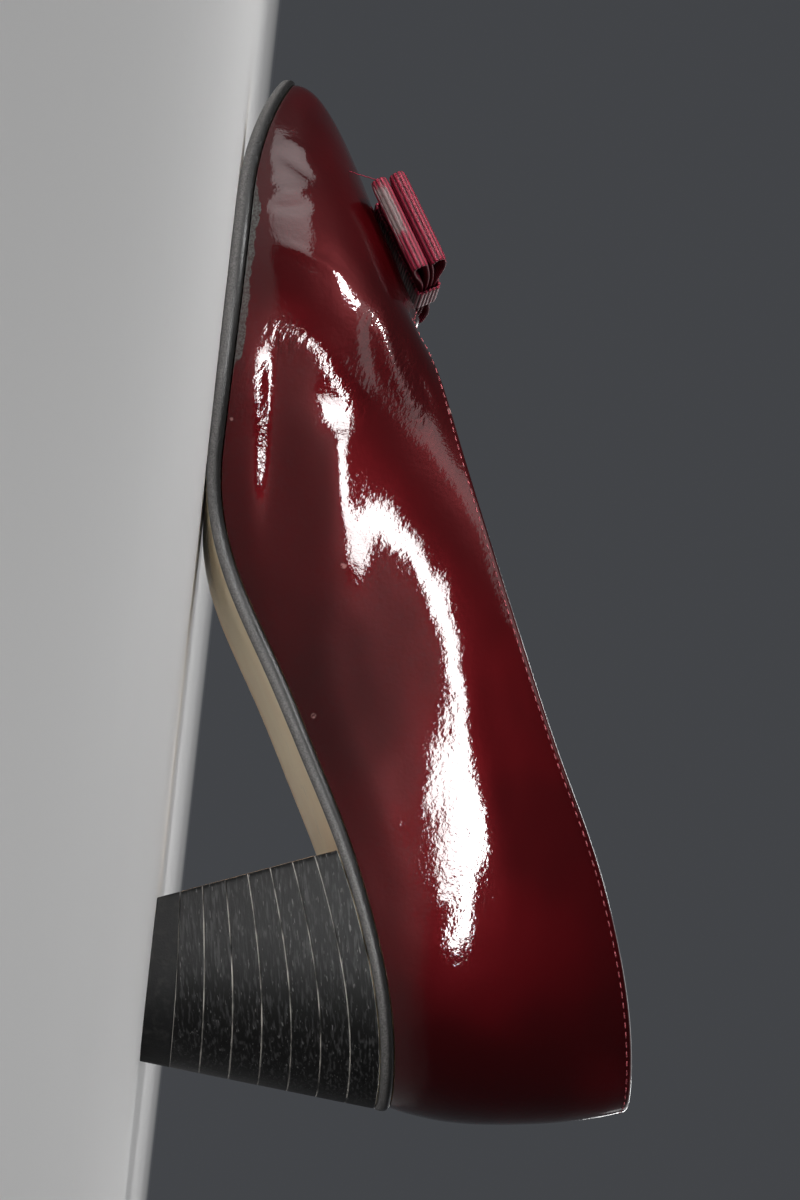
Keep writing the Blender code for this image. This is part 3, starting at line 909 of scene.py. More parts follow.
@dataclass(frozen=True)
class Grosgrain:
    """Ribbed crimson ribbon with a soft sheen, painted lighter on its rib crowns and darker in its rib
    hollows as painted light and shade, and a rubbed grey patch.
    """

    name: str = "grosgrain_crimson"
    # Painted shade of the rib hollows and painted light of the rib crowns
    hollow: Colour = (0.024, 0.0010, 0.0032, 1.0)
    crown: Colour = (0.175, 0.0075, 0.023, 1.0)
    thread: Colour = (0.26, 0.022, 0.047, 1.0)
    rubbed_and_lit: Colour = (0.115, 0.088, 0.085, 1.0)
    bare: Colour = (0.42, 0.35, 0.35, 1.0)
    sheen: Colour = (0.9, 0.25, 0.32, 1.0)
    yarn_size: float = 0.35
    yarn_depth: float = 0.10
    patch_size: float = 1.1
    rim_size: float = 0.9
    specular: float = 0.25

    def material(self) -> bpy.types.Material:
        """Makes the material.

        Returns:
            The material.
        """
        bench = NodeBench(self.name)
        rib = bench.painted("rib")
        yarn = bench.noise(self.yarn_size, 3.0)
        patch = bench.shifted(bench.painted("rubbed_and_lit"), bench.noise(self.patch_size, 6.0), 0.9)
        rim = bench.shifted(bench.painted("rim_wear"), bench.noise(self.rim_size, 4.0), 0.5)
        # Painted light and shade: rib crowns painted lit crimson, rib hollows painted dark
        colour = bench.mix(bench.band(rib, 0.25, 0.95), self.hollow, self.crown)
        colour = bench.glaze(colour, bench.band(yarn, 0.48, 0.70), 0.45, self.thread)
        colour = bench.glaze(colour, bench.band(patch, 0.30, 1.05), 0.9, self.rubbed_and_lit)
        colour = bench.mix(bench.band(rim, 0.30, 0.80), colour, self.bare)
        bench.set(base_color=colour, normal=bench.bump(yarn, self.yarn_depth))
        bench.set(roughness=bench.ramp(rib, -0.14, 0.62), specular_ior_level=self.specular)
        bench.set(sheen_weight=0.05, sheen_roughness=0.4, sheen_tint=self.sheen)
        return bench.material


@dataclass(frozen=True)
class StitchThread:
    """Twisted thread of the topline stitches."""

    name: str = "stitch_thread"
    pale: Colour = (0.27, 0.042, 0.052, 1.0)
    dark: Colour = (0.10, 0.011, 0.016, 1.0)
    twist_size: float = 0.3
    twist_depth: float = 0.05

    def material(self) -> bpy.types.Material:
        """Makes the material.

        Returns:
            The material.
        """
        bench = NodeBench(self.name)
        twist = bench.noise(self.twist_size)
        bench.set(base_color=bench.mix(bench.band(twist, 0.40, 0.60), self.dark, self.pale))
        bench.set(normal=bench.bump(twist, self.twist_depth), roughness=0.6)
        return bench.material


@dataclass(frozen=True)
class Last:
    """Sole outline, arch and toe spring that every piece follows."""

    length: float = 250.0
    ball_width: float = 73.0
    heel_height: float = 54.0
    toe_spring: float = 8.4
    tread_start: float = 145.0
    tread_end: float = 205.0
    tip_side: float = 0.010
    tip_thinning: float = -0.03
    slope_reach: float = 0.5
    outline_step: float = 0.02

    def under(self, at: Array) -> Array:
        """Height of the sole's underside.

        Args:
            at: places along the shoe.

        Returns:
            Heights over the floor.
        """
        at = np.asarray(at, float)
        table = [(along * self.length, height * self.heel_height) for along, height in ARCH]
        arch = open_spline(table, 0.0, np.clip(at, 0, self.tread_start))
        run = self.length - self.tread_end
        spring = self.toe_spring * (np.clip(at - self.tread_end, 0, None) / run) ** 2
        return np.where(at < self.tread_start, arch, spring)

    def stretch(self, at: Array) -> Array:
        """Vertical length of one unit across the sole's slope."""
        rise = self.under(np.asarray(at) + self.slope_reach) - self.under(np.asarray(at) - self.slope_reach)
        return np.sqrt(1 + (rise / (2 * self.slope_reach)) ** 2)

    def thick(self, at: Array) -> Array:
        """Thickness of the sole."""
        table = [(along * self.length, thick) for along, thick in THICKNESS]
        return open_spline(table, self.tip_thinning, np.clip(at, 0, self.length))

    def level(self, at: Array, up: Array) -> Array:
        """Height of a level that lies up millimetres over the underside."""
        return self.under(at) + up * self.stretch(at)

    def top(self, at: Array, up: Array = 0.0) -> Array:
        """Height of a level that lies up millimetres over the sole's upper face."""
        return self.level(at, self.thick(at) + up)

    def outline(self, inset: float) -> Array:
        """Draws the closed outline of the sole.

        Args:
            inset: how far the outline is drawn in.

        Returns:
            Points from the heel's back round the medial side.
        """
        scale = (self.length, self.ball_width)
        medial = [(along * scale[0], near * scale[1]) for along, near, _ in OUTLINE]
        lateral = [(along * scale[0], far * scale[1]) for along, _, far in reversed(OUTLINE)]
        knots = [(0.0, 0.0)] + medial + [(self.length, self.tip_side * self.ball_width)] + lateral
        points = closed_spline(knots, np.arange(0, len(knots), self.outline_step))
        ahead = unit(np.roll(points, -1, axis=0) - np.roll(points, 1, axis=0))
        outward = np.stack([-ahead[:, 1], ahead[:, 0]], axis=1)
        points = points - inset * outward
        return np.roll(points, -int(np.argmin(points[:, 0])), axis=0)

    def sides(self, inset: float) -> tuple[Array, Array]:
        """Splits an outline into its two sides.

        Args:
            inset: how far the outline is drawn in.

        Returns:
            Medial and lateral side, each from the heel's back to the toe tip.
        """
        points = self.outline(inset)
        tip = int(np.argmax(points[:, 0]))
        lateral = np.vstack([points[tip:], points[:1]])
        return points[: tip + 1], lateral[::-1]

    def across(self, side: Array, at: Array) -> Array:
        """How far across one side of an outline lies at places along the shoe."""
        return np.interp(at, side[:, 0], side[:, 1])

    def loop(self, inset: float, ribs: int) -> Array:
        """Draws a closed loop whose points face each other in ribs across the shoe.

        Args:
            inset: how far the outline is drawn in.
            ribs: steps from the heel's back to the toe tip.

        Returns:
            Points from the back along the medial side to the tip, and along the lateral side to the back.
        """
        medial, lateral = self.sides(inset)
        turn = np.linspace(0, math.pi, ribs + 1)
        start, end = medial[0, 0], medial[-1, 0]
        along = start + (end - start) * (1 - np.cos(turn)) / 2
        near = np.stack([along, self.across(medial, along)], axis=1)
        far = np.stack([along, self.across(lateral, along)], axis=1)
        far[0], far[-1] = near[0], near[-1]
        return np.vstack([near, far[-2::-1]])


def toward_middle(loop: Array, share: float) -> Array:
    """Moves each point of a loop of ribs towards the middle of its rib."""
    partner = loop[::-1]
    return loop + (partner - loop) * (share / 2)


@dataclass(frozen=True)
class Crease:
    """Soft trough or ridge of the leather.

    path is in millimetres, below and above are how far it reaches down and up the wall, and height is
    negative for a trough.
    """

    path: tuple[Point, ...]
    below: float
    above: float
    height: float
    fade: float = 0.42

    def lift(self, points: Array) -> Array:
        """How far the leather stands out.

        Args:
            points: places on the plain surface.

        Returns:
            Heights over that surface.
        """
        line = polyline(self.path, CREASE_STEPS)
        far, share = nearest_on(line, points)
        run = np.linspace(0, 1, len(line))
        over = points[..., 2] - np.interp(share, run, line[:, 2])
        width = np.where(over > 0, self.above, self.below)
        ends = window(0.0, self.fade, 1.0 - self.fade, 1.0, share)
        return self.height * ends * np.exp(-((far / width) ** 2))


@dataclass(frozen=True)
class FineFold:
    """Thin sharp crease line, kept as a distance along which the finish paints shade."""

    path: tuple[Point, ...]
    strength: float
    fade: float = 0.2


def mirrored(path: Sequence[Point], shift: Point) -> tuple[Point, ...]:
    """A path on the other side of the shoe, moved by shift."""
    return tuple((x + shift[0], -y + shift[1], z + shift[2]) for x, y, z in path)


# Lines of the main creases on the medial side, in millimetres
TROUGH_PATH = ((182, 33.2, 12.4), (167, 32.2, 13.4), (152, 29.6, 14.4), (138, 26.2, 15.2), (119, 21.6, 16.4))
BULGE_PATH = ((158, 29.8, 28.0), (140, 28.0, 29.2), (124, 25.9, 30.6), (100, 23.8, 33.0))
SHOULDER_PATH = ((128, 26.0, 26.2), (99, 22.6, 30.9), (88, 22.8, 34.3), (75, 24.2, 41.2), (40, 26.0, 58.0))
BALL_ROLL_PATH = (
    (175, 32.3, 6.5), (171, 32.6, 14.0), (170, 32.2, 21.0), (162, 30.8, 29.7), (154, 29.0, 37.0),
)
THROAT_PATH = ((186, 26.5, 36.5), (174, 28.4, 38.6), (163, 27.3, 43.5), (153, 25.0, 50.5))
FEATHER_PATH = ((168, 31.4, 5.4), (155, 28.7, 5.2), (143, 25.6, 7.2))
FOOT_ROLL_PATH = ((150, 28.2, 9.6), (138, 24.6, 10.6), (127, 21.0, 12.4), (114, 18.9, 15.5))
# Medial side first, then the lateral side, the vamp and the puckers at the toe
CREASES = (
    Crease(TROUGH_PATH, 4.3, 8.0, -1.30, 0.40),
    Crease(BULGE_PATH, 6.5, 6.0, 0.85),
    Crease(SHOULDER_PATH, 5.0, 5.0, 0.45),
    Crease(BALL_ROLL_PATH, 4.2, 4.2, 0.45),
    Crease(((163, 31.0, 21.0), (156, 29.8, 26.5), (148, 28.6, 32.0)), 5.0, 5.0, -0.35),
    Crease(THROAT_PATH, 2.4, 2.4, 0.40),
    Crease(((181, 28.9, 33.0), (170, 29.6, 35.0), (160, 28.6, 39.4)), 1.8, 1.8, -0.24),
    Crease(((172, 25.0, 44.8), (164, 24.2, 48.4), (157, 23.2, 53.0)), 1.6, 1.6, -0.20),
    Crease(FOOT_ROLL_PATH, 3.0, 3.0, 0.35),
    Crease(((132, 27.6, 36.0), (108, 26.2, 46.0), (80, 26.6, 58.0)), 8.0, 8.0, -0.40),
    Crease(((115, 27.8, 57.0), (80, 27.2, 67.5), (40, 26.4, 80.5)), 5.0, 5.0, 0.30),
    Crease(mirrored(TROUGH_PATH, (0, -4.0, 0)), 4.3, 7.0, -0.9, 0.40),
    Crease(mirrored(BULGE_PATH, (0, -3.5, 0)), 6.0, 6.0, 0.5),
    Crease(mirrored(THROAT_PATH, (0, 0.5, -1.5)), 2.6, 2.6, 0.3),
    Crease(((200, 16.0, 39.5), (198, 0.0, 45.0), (200, -16.0, 38.5)), 3.4, 3.4, -0.30),
    Crease(((222, 22.2, 6.5), (218, 23.6, 12.5), (212, 24.0, 20.0)), 2.2, 2.2, -0.26),
    Crease(((226, 20.3, 8.0), (224, 20.9, 12.5), (220, 21.4, 19.0)), 2.0, 2.0, 0.16),
    Crease(((203, 29.5, 6.0), (204, 28.9, 12.0), (206, 26.8, 19.0)), 1.6, 1.6, -0.20),
    Crease(((208, 27.7, 6.5), (209, 27.2, 12.0), (211, 25.2, 18.0)), 1.8, 1.8, 0.16),
    Crease(((194, 31.7, 7.0), (193, 31.5, 14.0), (190, 30.4, 22.0), (185, 28.5, 30.0)), 1.5, 1.5, 0.20),
)
FINE_FOLDS = (
    FineFold(((174, 32.9, 13.0), (166, 32.1, 13.4), (158, 31.0, 14.0)), 1.0),
    FineFold(((173, 32.7, 15.6), (166, 31.9, 16.0)), 0.6),
    FineFold(((176, 28.4, 37.6), (167, 28.2, 41.0), (160, 26.6, 46.0)), 0.5),
)
# Crinkled stretches of the lacquer: line and reach in millimetres
CRINKLES = ((THROAT_PATH, 7.0), (FEATHER_PATH, 4.5), (BALL_ROLL_PATH, 3.5))


@dataclass
class Upper:
    """Hollow patent upper with its folded topline, lining side and topline stitches."""

    last: Last
    wall: float = 1.8
    feather_inset: float = 1.0
    columns: int = 624
    outer_rows: int = 76
    rim_rows: int = 8
    inner_rows: int = 30
    stitch_pitch: float = 2.3
    stitch_length: float = 1.5
    stitch_radius: float = 0.17
    stitch_drop: float = 0.9
    stitch_square: float = 0.8
    stitch_segments: int = 8
    stitch_rings: int = 6
    stitch_angle: float = 80.0
    # Smear of edge black: width, span along the shoe, least y, and least strength that shows
    ink_width: float = 2.2
    ink_span: Span = (160.0, 168.0, 200.0, 214.0)
    ink_side: float = 8.0
    ink_least: float = 0.02
    # Unevenness of its width: middle, swing, usual length and pattern
    ink_middle: float = 0.75
    ink_swing: float = 0.35
    ink_wave: float = 8.0
    ink_pattern: float = 2.0
    # How bluntly the crinkles end along their lines, where 0 is bluntest
    crinkle_ends: float = 0.4
    # Unevenness of the skin: height, usual length and pattern of each set of swells
    swells: tuple[Point, ...] = ((0.16, 34.0, 0.3), (0.030, 9.0, 1.1))
    # Distances from the feather edge and from the topline over which relief grows to its full height
    calm_start: float = 0.2
    calm_feather: float = 4.0
    calm_topline: float = 5.0
    # Steps along the vamp's ridge, and how many of them to each side its slope is read over
    ridge_steps: int = 400
    ridge_reach: int = 5
    finish: PatentLeather = PatentLeather()
    lining: SoftLeather = SoftLeather("lining_leather", (0.50, 0.345, 0.20, 1.0), (0.42, 0.275, 0.15, 1.0))
    thread: StitchThread = StitchThread()
    _outer: Array = field(default=None, repr=False)
    _normal: Array = field(default=None, repr=False)
    _up: Array = field(default=None, repr=False)

    def rays(self, at: Array) -> tuple[Array, Array, Array, Array]:
        """Draws the curve of each ray from the feather edge to the topline.

        Args:
            at: ray places from the back round the medial side.

        Returns:
            Feather points, two handles and topline points.
        """
        points = self.last.outline(self.feather_inset)
        tip = int(np.argmax(points[:, 0]))
        ring = np.vstack([points, points[:1]])
        length = run_length(ring)
        near = [(ray, 1) for ray in MEDIAL_RAYS]
        far = [(ray, -1) for ray in reversed(LATERAL_RAYS)]
        rays = [(BACK_RAY, 0), *near, (TOE_RAY, 0), *far]
        count = len(rays)
        columns = []
        for number, (ray, side) in enumerate(rays):
            if side > 0:
                reach = np.interp(ray[0], points[: tip + 1, 0], length[: tip + 1])
            elif side < 0:
                reach = np.interp(-ray[0], -points[tip:, 0], length[tip:-1])
            else:
                reach = length[tip] if ray is TOE_RAY else 0.0
            heading = math.radians(ray[1])
            drift = reach - length[-1] * number / count
            columns.append([drift, math.cos(heading), side * math.sin(heading), *ray[2:]])
        read = closed_spline(columns, at)
        place = (read[:, 0] + length[-1] * np.asarray(at) / count) % length[-1]
        foot = read_along(ring, length, place)
        feather = np.column_stack([foot, self.last.top(foot[:, 0], PIECE_GAP)])
        face = unit(np.column_stack([read[:, 1:3], np.zeros(len(read))]))
        top = read[:, 5:8]
        low = feather + face * read[:, 4:5] + UP * read[:, 3:4]
        high = top + face * read[:, 8:9] - UP * read[:, 9:10]
        return feather, low, high, top

    def surface(self, rays: tuple[Array, Array, Array, Array], shares: Array) -> Array:
        """Reads points of the rays' curves.

        Args:
            rays: feather points, two handles and topline points.
            shares: shares of the way from the feather edge to the topline.

        Returns:
            Points of the surface.
        """
        feather, low, high, top = rays
        share = shares[..., None]
        rest = 1 - share
        rising = rest**3 * feather + 3 * rest**2 * share * low
        return rising + 3 * rest * share**2 * high + share**3 * top

    def normals(self, points: Array) -> Array:
        """Finds the outward normals of a surface that is closed along its rows.

        Args:
            points: rows of points.

        Returns:
            One normal for each point.
        """
        ring = points[:, :-1]
        along = np.roll(ring, -1, axis=1) - np.roll(ring, 1, axis=1)
        rise = np.gradient(ring, axis=0)
        found = unit(np.cross(rise, along))
        return np.concatenate([found, found[:, :1]], axis=1)

    def shape(self) -> None:
        """Works out the creased outer surface and its normals."""
        rays = self.rays(np.linspace(0, len(MEDIAL_RAYS) + len(LATERAL_RAYS) + 2, self.columns + 1))
        pace = 3 * np.linalg.norm(rays[3] - rays[2], axis=1)
        end = 1 - self.wall / 2 / pace
        shares = np.linspace(0, 1, self.outer_rows + 1)[:, None] * end[None, :]
        plain = self.surface(rays, shares)
        normal = self.normals(plain)
        lift = sum(crease.lift(plain) for crease in CREASES)
        for height, wave, pattern in self.swells:
            lift = lift + height * ripple(plain, wave, pattern)
        step = np.linalg.norm(np.diff(plain, axis=0), axis=2)
        up = np.concatenate([np.zeros((1, self.columns + 1)), np.cumsum(step, axis=0)])
        calm = smooth(self.calm_start, self.calm_feather, up)
        calm = calm * smooth(self.calm_start, self.calm_topline, up[-1:] - up)
        self._outer = plain + normal * (lift * calm)[..., None]
        self._normal = self.normals(self._outer)
        self._up = up

    def ink(self) -> Array:
        """Measures the smear of edge black over the feather edge.

        Returns:
            Distance inside the smear, negative outside it.
        """
        strength = window(*self.ink_span, self._outer[..., 0])
        uneven = self.ink_middle + self.ink_swing * ripple(self._outer, self.ink_wave, self.ink_pattern)
        inked = (self._outer[..., 1] > self.ink_side) & (strength > self.ink_least)
        return np.where(inked, self.ink_width * strength * uneven - self._up, -FAR_OFF)

    def crinkle(self) -> Array:
        """Measures the crinkled stretches.

        Returns:
            How crinkled the lacquer is, from 0 to 1.
        """
        found = np.zeros(self._outer.shape[:2])
        for path, reach in CRINKLES:
            far, share = nearest_on(polyline(path, MARK_STEPS), self._outer)
            near = np.exp(-((far / reach) ** 2)) * np.sin(share * math.pi) ** self.crinkle_ends
            found = np.maximum(found, near)
        return found

    def folds(self) -> tuple[Array, Array]:
        """Measures the fine folds on the outer surface.

        Returns:
            Distance from the nearest fold, signed by its side, and that fold's strength.
        """
        outer = self._outer
        fold = np.full(outer.shape[:2], FAR_OFF)
        strength = np.zeros(outer.shape[:2])
        for crease in FINE_FOLDS:
            line = polyline(crease.path, MARK_STEPS)
            far, share = nearest_on(line, outer)
            way = unit(line[-1] - line[0])
            side = np.sum(np.cross(outer - line[0], way) * self._normal, axis=-1)
            nearer = far < np.abs(fold)
            fold = np.where(nearer, far * np.sign(side), fold)
            ends = window(0.0, crease.fade, 1.0 - crease.fade, 1.0, share)
            strength = np.where(nearer, crease.strength * ends, strength)
        return fold, strength

    def marks(self, rows: int) -> dict[str, Array]:
        """Works out the values that the finish reads.

        Args:
            rows: rows of the whole wall.

        Returns:
            Values by name, one for each point of the wall.
        """
        crinkle = self.crinkle()
        fold, strength = self.folds()
        # Values on the outside, and on the rim and the lining side
        sides = {
            "ink": (self.ink(), -FAR_OFF),
            "crinkle": (crinkle, crinkle[-1]),
            "fold": (fold, -FAR_OFF),
            "fold_strength": (strength, 0.0),
        }
        made = {}
        for name, (outside, inside) in sides.items():
            full = np.empty((rows, outside.shape[1]))
            full[: len(outside)] = outside
            full[len(outside) : -1] = inside
            full[-1] = outside[0]
            made[name] = full
        return made

    def build(self) -> Piece:
        """Models the wall: outside, folded rim, lining side and its foot, as one closed skin.

        Returns:
            The piece.
        """
        self.shape()
        outer, normal = self._outer, self._normal
        rim_way = unit(outer[-1] - outer[-2])
        rim = []
        for turn in np.linspace(0, math.pi, self.rim_rows + 1)[1:-1]:
            centre = outer[-1] - normal[-1] * self.wall / 2
            rim.append(centre + (normal[-1] * math.cos(turn) + rim_way * math.sin(turn)) * self.wall / 2)
        inside = np.linspace(self.outer_rows, 0, self.inner_rows + 1).astype(int)
        inner = outer[inside] - normal[inside] * self.wall
        points = np.concatenate([outer, np.array(rim), inner, outer[:1]])
        rows, columns = points.shape[:2]
        marks = self.marks(rows)
        piece = add_grid("patent_upper", points, marks)
        piece.data.materials.append(self.finish.material())
        piece.data.materials.append(self.lining.material())
        first = len(outer) + self.rim_rows - 2
        row_faces(piece, rows, columns, first, rows, 1)
        close_up(piece)
        settle(piece, Slot.UPPER, "upper")
        return piece

    def stitch(self) -> Piece:
        """Models one stitch and lays copies of it along the topline.

        Returns:
            All the stitches as one piece.
        """
        drop = self._up[-1:] - self._up
        row = int(np.argmin(np.abs(drop.mean(axis=1) - self.stitch_drop)))
        line = self._outer[row]
        reach = run_length(line)
        count = int(reach[-1] / self.stitch_pitch)
        at = np.arange(count) * reach[-1] / count
        middle = read_along(line, reach, at)
        outward = unit(read_along(self._normal[row], reach, at))
        along = unit(np.roll(middle, -1, axis=0) - np.roll(middle, 1, axis=0))
        across = unit(np.cross(along, outward))
        bpy.ops.object.select_all(action="DESELECT")
        bpy.ops.mesh.primitive_uv_sphere_add(
            segments=self.stitch_segments, ring_count=self.stitch_rings, radius=1.0
        )
        piece = bpy.context.object
        piece.name = "topline_stitches"
        bead = np.array([corner.co for corner in piece.data.vertices])
        faces = [list(side.vertices) for side in piece.data.polygons]
        bead = np.sign(bead) * np.abs(bead) ** self.stitch_square
        bead = bead * np.array((self.stitch_radius, self.stitch_radius, self.stitch_length / 2))
        points = middle[:, None]
        for axis, way in enumerate((outward, across, along)):
            points = points + way[:, None] * bead[:, axis : axis + 1]
        starts = range(0, count * len(bead), len(bead))
        corners = [[start + corner for corner in side] for start in starts for side in faces]
        mesh = bpy.data.meshes.new("topline_stitches")
        mesh.from_pydata(to_row(points.reshape(-1, 3)).tolist(), [], corners)
        piece.data = mesh
        mesh.materials.append(self.thread.material())
        close_up(piece, self.stitch_angle)
        settle(piece, None)
        return piece

    def ridge_seat(self, place: float, lift: float) -> tuple[Array, float]:
        """Finds a seat on the vamp's ridge.

        Args:
            place: place along the shoe.
            lift: height over the ridge.

        Returns:
            The point over the ridge, and the ridge's slope there in radians.
        """
        toe = self.rays(np.array([len(MEDIAL_RAYS) + 1.0]))
        ridge = self.surface(toe, np.linspace(0, 1, self.ridge_steps + 1)[:, None])[:, 0]
        here = int(np.argmin(np.abs(ridge[:, 0] - place)))
        step = ridge[here + self.ridge_reach] - ridge[here - self.ridge_reach]
        slope = math.atan2(step[2], -step[0])
        return ridge[here] + lift * np.array((math.sin(slope), 0.0, math.cos(slope))), slope


@dataclass(frozen=True)
class SoleLoop:
    """One loop of the sole: plan, share of the thickness, how much of it is edge, and how much painted light
    its edge gets.
    """

    plan: Array
    share: float
    edge: float
    painted_light: float


@dataclass
class Outsole:
    """Leather sole with a rounded blacked edge and a worn underside."""

    last: Last
    ribs: int = 300
    under_rows: int = 24
    edge_rows: int = 18
    top_rows: int = 4
    edge_round: float = 0.9
    edge_wrap: float = 0.35
    edge_square: float = 2.1
    # Shares of the edge's height where its painted light of grey ends and where it is full
    painted_light_end: float = 0.68
    painted_light_full: float = 0.34
    smooth_angle: float = 60.0
    finish: SoleLeather = SoleLeather()
    # Border of the worn forefoot on the underside, in millimetres
    worn: tuple[Pair, ...] = (
        (262, 2), (244, 8.5), (226, 20.7), (212, 24.3), (199, 24.1), (187, 23.1), (178, 20.3), (172, 16.1),
        (167, 10.0), (163, 2.0), (157, -8.0), (152, -13.0), (146, -10.0), (143, -1.0), (139, 5.4), (131, 2.1),
        (125, -6.4), (122, -18.7), (124, -27.0), (128, -46.0), (200, -60.0), (262, -30.0),
    )
    stain_place: Pair = (154.0, -4.0)
    stain_reach: Pair = (12.5, 13.0)
    scratch_place: Pair = (72.0, 0.0)
    scratch_reach: Pair = (17.0, 6.0)
    # Painted shade of tan along the waist's lateral rim: span along the shoe, and reach from the rim
    rim_shade_span: Span = (40.0, 70.0, 118.0, 140.0)
    rim_shade_reach: float = 4.5
    # Tan at the toe: where it starts and is full, and its strength
    toe_span: Pair = (176.0, 208.0)
    toe_tan: float = 0.95

    def border_distance(self, x: Array, y: Array) -> Array:
        """Distance from the border of the worn forefoot.

        Args:
            x: places along the shoe.
            y: places across it.

        Returns:
            Distances, negative outside the border.
        """
        border = np.array(self.worn)
        after = np.roll(border, -1, axis=0)
        best = np.full(x.shape, np.inf)
        inside = np.zeros(x.shape, bool)
        for start, end in zip(border, after):
            way = end - start
            part = np.clip(((x - start[0]) * way[0] + (y - start[1]) * way[1]) / (way @ way), 0, 1)
            best = np.minimum(best, np.hypot(x - start[0] - part * way[0], y - start[1] - part * way[1]))
            if way[1] != 0:
                crosses = (start[1] > y) != (end[1] > y)
                inside ^= crosses & (x < way[0] * (y - start[1]) / way[1] + start[0])
        return np.where(inside, best, -best)

    def blot(self, x: Array, y: Array, place: Pair, reach: Pair) -> Array:
        """Soft round blot of 1 at its middle."""
        return np.exp(-(((x - place[0]) / reach[0]) ** 2) - ((y - place[1]) / reach[1]) ** 2)

    def tan(self, x: Array, y: Array) -> Array:
        """Draws the painted shade of tan along the waist's lateral rim, and the tan of the toe.

        Args:
            x: places along the shoe.
            y: places across it.

        Returns:
            How tan the underside is, from 0 to 1.
        """
        side = self.last.loop(self.edge_round + self.edge_wrap, self.ribs)[:, 1]
        rim = np.abs(side[::-1] - side) / 2 - np.abs(y - (side[::-1] + side) / 2)
        # Painted shade of tan along the waist's lateral rim
        rim_shade = window(*self.rim_shade_span, x) * (y < 0) * np.exp(-rim / self.rim_shade_reach)
        return np.maximum(rim_shade, self.toe_tan * smooth(*self.toe_span, x))

    def loops(self) -> list[SoleLoop]:
        """Draws the sole's loops.

        Returns:
            Loops from the middle of the underside, round the edge, to the middle of the top.
        """
        inner = self.last.loop(self.edge_round + self.edge_wrap, self.ribs)
        outer = self.last.loop(self.edge_round, self.ribs)
        inward = np.linspace(1, 0, self.under_rows)
        made = [SoleLoop(toward_middle(inner, share), 0.0, 0.0, 1.0) for share in inward]
        for turn in np.linspace(-math.pi / 2, math.pi / 2, self.edge_rows):
            rise = math.sin(turn)
            bulge = (1 - abs(rise) ** self.edge_square) ** (1 / self.edge_square)
            plan = self.last.loop(self.edge_round * (1 - bulge), self.ribs)
            share = (1 + rise) / 2
            made.append(SoleLoop(plan, share, 1.0, float(smooth(self.painted_light_end, self.painted_light_full, share))))
        inward = np.linspace(0, 1, self.top_rows + 1)[1:]
        return made + [SoleLoop(toward_middle(outer, share), 1.0, 1.0, 0.0) for share in inward]

    def build(self) -> Piece:
        """Models and dresses the sole.

        Returns:
            The piece.
        """
        loops = self.loops()
        rows = []
        for loop in loops:
            along = loop.plan[:, 0]
            height = self.last.level(along, loop.share * self.last.thick(along))
            rows.append(np.column_stack([loop.plan, height]))
        points = np.array(rows)
        x, y = points[..., 0], points[..., 1]
        marks = {
            "edge": by_row([loop.edge for loop in loops], points.shape[1]),
            "edge_painted_light": by_row([loop.painted_light for loop in loops], points.shape[1]),
            "worn": self.border_distance(x, y),
            "stain": self.blot(x, y, self.stain_place, self.stain_reach),
            "scratch": self.blot(x, y, self.scratch_place, self.scratch_reach),
            "tan": self.tan(x, y),
        }
        piece = add_grid("leather_outsole", points, marks)
        piece.data.materials.append(self.finish.material())
        close_up(piece, self.smooth_angle)
        settle(piece, Slot.SOLE, "outsole")
        return piece


@dataclass
class Sock:
    """Thin leather sock on the sole inside the upper, pressed a little by the foot."""

    last: Last
    thick: float = 2.2
    inset: float = 3.0
    round_edge: float = 0.6
    ribs: int = 160
    rows: int = 16
    edge_rows: int = 5
    # Presses of the heel and the ball: depth, place and reach of each, and where across they are full
    press: float = 0.5
    presses: tuple[Pair, ...] = ((30.0, 26.0), (178.0, 30.0))
    press_full: float = 0.7
    finish: SoftLeather = SoftLeather(
        "sock_leather", (0.47, 0.32, 0.185, 1.0), (0.36, 0.23, 0.125, 1.0), 1.1, 0.06, 0.55
    )

    def build(self) -> Piece:
        """Models the sock from the middle of its underside, round its edge, to the middle of its top.

        Returns:
            The piece.
        """
        flat = self.last.loop(self.inset, self.ribs)
        rows = [(toward_middle(flat, share), 0.0, 0.0) for share in (1.0, 0.5, 0.0)]
        for turn in np.linspace(0, math.pi / 2, self.edge_rows):
            plan = self.last.loop(self.inset + self.round_edge * (1 - math.cos(turn)), self.ribs)
            rows.append((plan, self.thick - self.round_edge * (1 - math.sin(turn)), 0.0))
        inner = rows[-1][0]
        for share in np.linspace(0, 1, self.rows + 1)[1:]:
            rows.append((toward_middle(inner, share), self.thick, share))
        points = []
        for plan, up, share in rows:
            x = plan[:, 0]
            pressed = sum(np.exp(-(((x - place) / reach) ** 2)) for place, reach in self.presses)
            sink = self.press * pressed * smooth(0, self.press_full, share)
            points.append(np.column_stack([plan, self.last.top(x, PIECE_GAP + up - sink)]))
        piece = add_grid("leather_sock", np.array(points))
        piece.data.materials.append(self.finish.material())
        close_up(piece)
        settle(piece, Slot.SOCK, "insole")
        return piece


# Lower half of a lift's section: share of its height, share of the way to its middle, how far it is drawn
# in as a chamfer, in millimetres, and how much of it is joint
LIFT_SECTION = (
    (0.0, 1.0, 0.0, 1.0),
    (0.0, 0.5, 0.0, 1.0),
    (0.0, 0.0, 0.12, 1.0),
    (0.012, 0.0, 0.03, 0.7),
    (0.034, 0.0, 0.0, 0.0),
    (0.06, 0.0, 0.0, 0.0),
    (0.5, 0.0, 0.0, 0.0),
)


